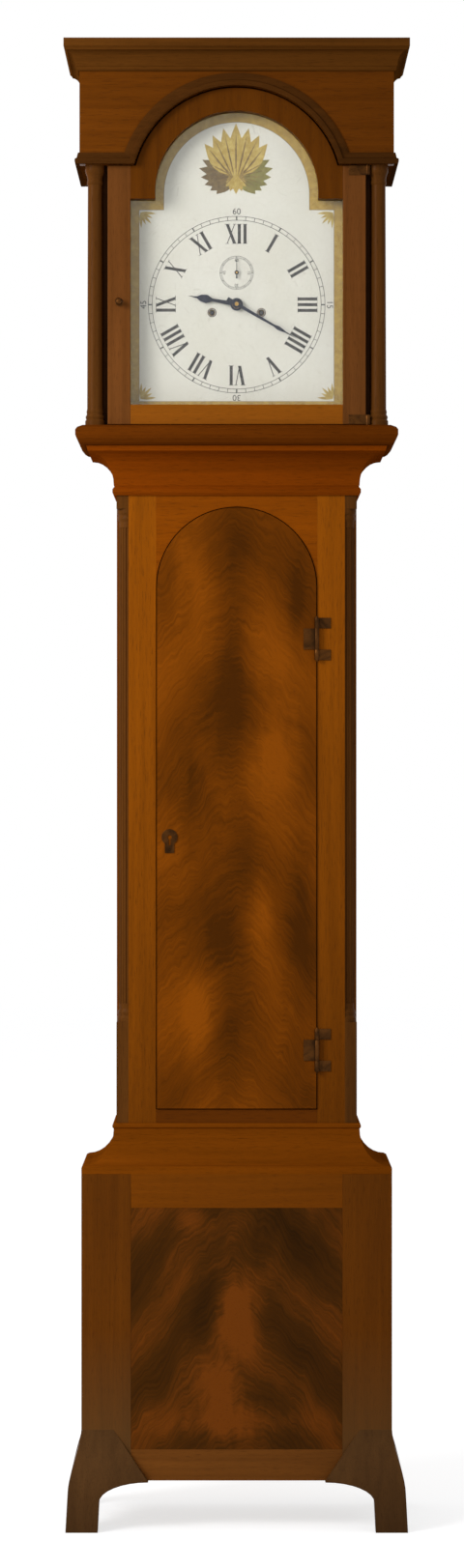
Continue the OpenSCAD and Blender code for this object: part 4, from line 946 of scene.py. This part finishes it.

# The gut lines. Each comes off its barrel, passes down round the pulley of its
# weight and up to a knot on the seatboard.
gut, tree, shader = finish_of("twisted_gut", specular=0.4)
place = node(tree, "TexCoord").outputs["Object"]
skewed = node(tree, "Mapping", {"Vector": place, "Rotation": (0.5, 0.5, 0)}).outputs[0]
twist = node(tree, "TexWave", {"Vector": skewed, "Scale": 420.0, "Distortion": 1.5},
             bands_direction="Z").outputs["Fac"]
tone = drawn_noise(tree, place, (60, 60, 14), 4)
strand = weighed(tree, 0.0, (twist, 0.4), (tone, 0.6))
coat(tree, shader, mixed(tree, strand, shade(146, 110, 62), shade(212, 182, 128)),
     weighed(tree, 0.25, (tone, 0.3)), twist, 0.0002, 0.4)

GUT_RADIUS, LINE_Y = 0.0008, 0.002
PULLEY_X, PULLEY_Z, PULLEY_RUN = 0.045, 1.444, 0.0181
FALL_STEPS, PULLEY_STEPS, RISE_STEPS = 19, 24, 15
BARREL_RUN, TURNS, TURN_STEPS, TURN_GAP = 0.0258, 13, 32, 0.0021
COIL_Y = LINE_Y - TURN_GAP * TURNS / 2
LINE_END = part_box("seatboard")[1].z + 0.004
KNOT_Z, KNOT_RADIUS, KNOT_FLATNESS = LINE_END - 0.0018, 0.0034, 0.8


def gut_line(points, sides):
    """A closed line of gut through points, as a new bmesh. No stretch of it heads along Y."""
    bm = bmesh.new()
    rings = []
    for i, point in enumerate(points):
        ahead = (points[min(i + 1, len(points) - 1)] - points[max(i - 1, 0)]).normalized()
        across = ahead.cross(Vector((0, 1, 0))).normalized()
        up = across.cross(ahead)
        rings.append([bm.verts.new(point + GUT_RADIUS * (across * u + up * v))
                      for u, v in arc(1, 0, 2 * math.pi, sides)[:-1]])
    for low, high in zip(rings, rings[1:]):
        for k in range(sides):
            bm.faces.new((low[k - 1], low[k], high[k], high[k - 1]))
    bm.faces.new(rings[0][::-1])
    bm.faces.new(rings[-1])
    return bm


falling = [(PULLEY_X + PULLEY_RUN, BARREL_Z + (PULLEY_Z - BARREL_Z) * i / FALL_STEPS)
           for i in range(FALL_STEPS)]
rounding = [(PULLEY_X + x, PULLEY_Z - z) for x, z in arc(PULLEY_RUN, 0, math.pi, PULLEY_STEPS)[:-1]]
rising = [(PULLEY_X - PULLEY_RUN, PULLEY_Z + (LINE_END - PULLEY_Z) * i / RISE_STEPS)
          for i in range(RISE_STEPS + 1)]
coil = arc(BARREL_RUN, 0, 2 * math.pi * TURNS, TURNS * TURN_STEPS)
for side, name, body, barrel in ((1, "going_line", "going_weight", "going_drum"),
                                 (-1, "strike_line", "strike_weight", "strike_drum")):
    bm = gut_line([Vector((side * x, LINE_Y, z)) for x, z in falling + rounding + rising], 10)
    knot =(Matrix.Translation((side * (PULLEY_X - PULLEY_RUN), LINE_Y, KNOT_Z))
            @ Matrix.Diagonal((1, 1, KNOT_FLATNESS, 1)))
    bmesh.ops.create_uvsphere(bm, u_segments=16, v_segments=10, radius=KNOT_RADIUS, matrix=knot)
    bmesh.ops.recalc_face_normals(bm, faces=bm.faces)
    piece = keep(bm, "dressed_" + name)
    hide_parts(name)
    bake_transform(piece)
    dress(gut, piece)

    wound = [Vector((side * (BARREL_X + x), COIL_Y + TURN_GAP * i / TURN_STEPS, BARREL_Z + z))
             for i, (x, z) in enumerate(coil)]
    add_piece(gut_line(wound, 8), "turns_of_" + name, barrel, gut)

# The back

# Three planed boards of pine stand side by side. Rows of hand-made nails with
# seven-sided heads run down both edges of the case, no two quite in line.
BOARD_JOINT = 0.068
planed = board("planed_pine", (186, 150, 102), (140, 102, 60), specular=0.0)
for label, planes in (
        ("backboard_left", [((-BOARD_JOINT, 0, 0), RIGHT)]),
        ("backboard_middle", [((-BOARD_JOINT, 0, 0), LEFT), ((BOARD_JOINT, 0, 0), RIGHT)]),
        ("backboard_right", [((BOARD_JOINT, 0, 0), LEFT)])):
    dress(planed, sawn("backboard", label, planes, 0.0009))

NAIL_GAP, NAIL_WIDE, NAIL_TALL, WOBBLE = 0.11, 0.0028, 0.0024, 0.0012
NAIL_ROWS = ((0.171, 0.66, 1.66), (0.204, 0.13, 0.47), (0.204, 1.70, 2.12))
back_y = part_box("backboard")[1].y
NAIL_FRONT, NAIL_BACK = back_y - 0.0016, back_y - 0.0001
bm = bmesh.new()
for x, first, last in NAIL_ROWS:
    count = round((last - first) / NAIL_GAP)
    for n in range(count + 1):
        z = first + (last - first) * n / count
        for side in (-1, 1):
            middle = side * x + WOBBLE * math.sin(7 * n + side)
            plate(bm, [(middle + NAIL_WIDE * u, z + NAIL_TALL * v)
                       for u, v in arc(1, n, 2 * math.pi, 7)[:-1]], NAIL_FRONT, NAIL_BACK)
add_piece(bm, "back_nails", "case",
          metal("rusted_iron", (84, 66, 54), (58, 36, 24), 1.0, 0.5, 3.0))
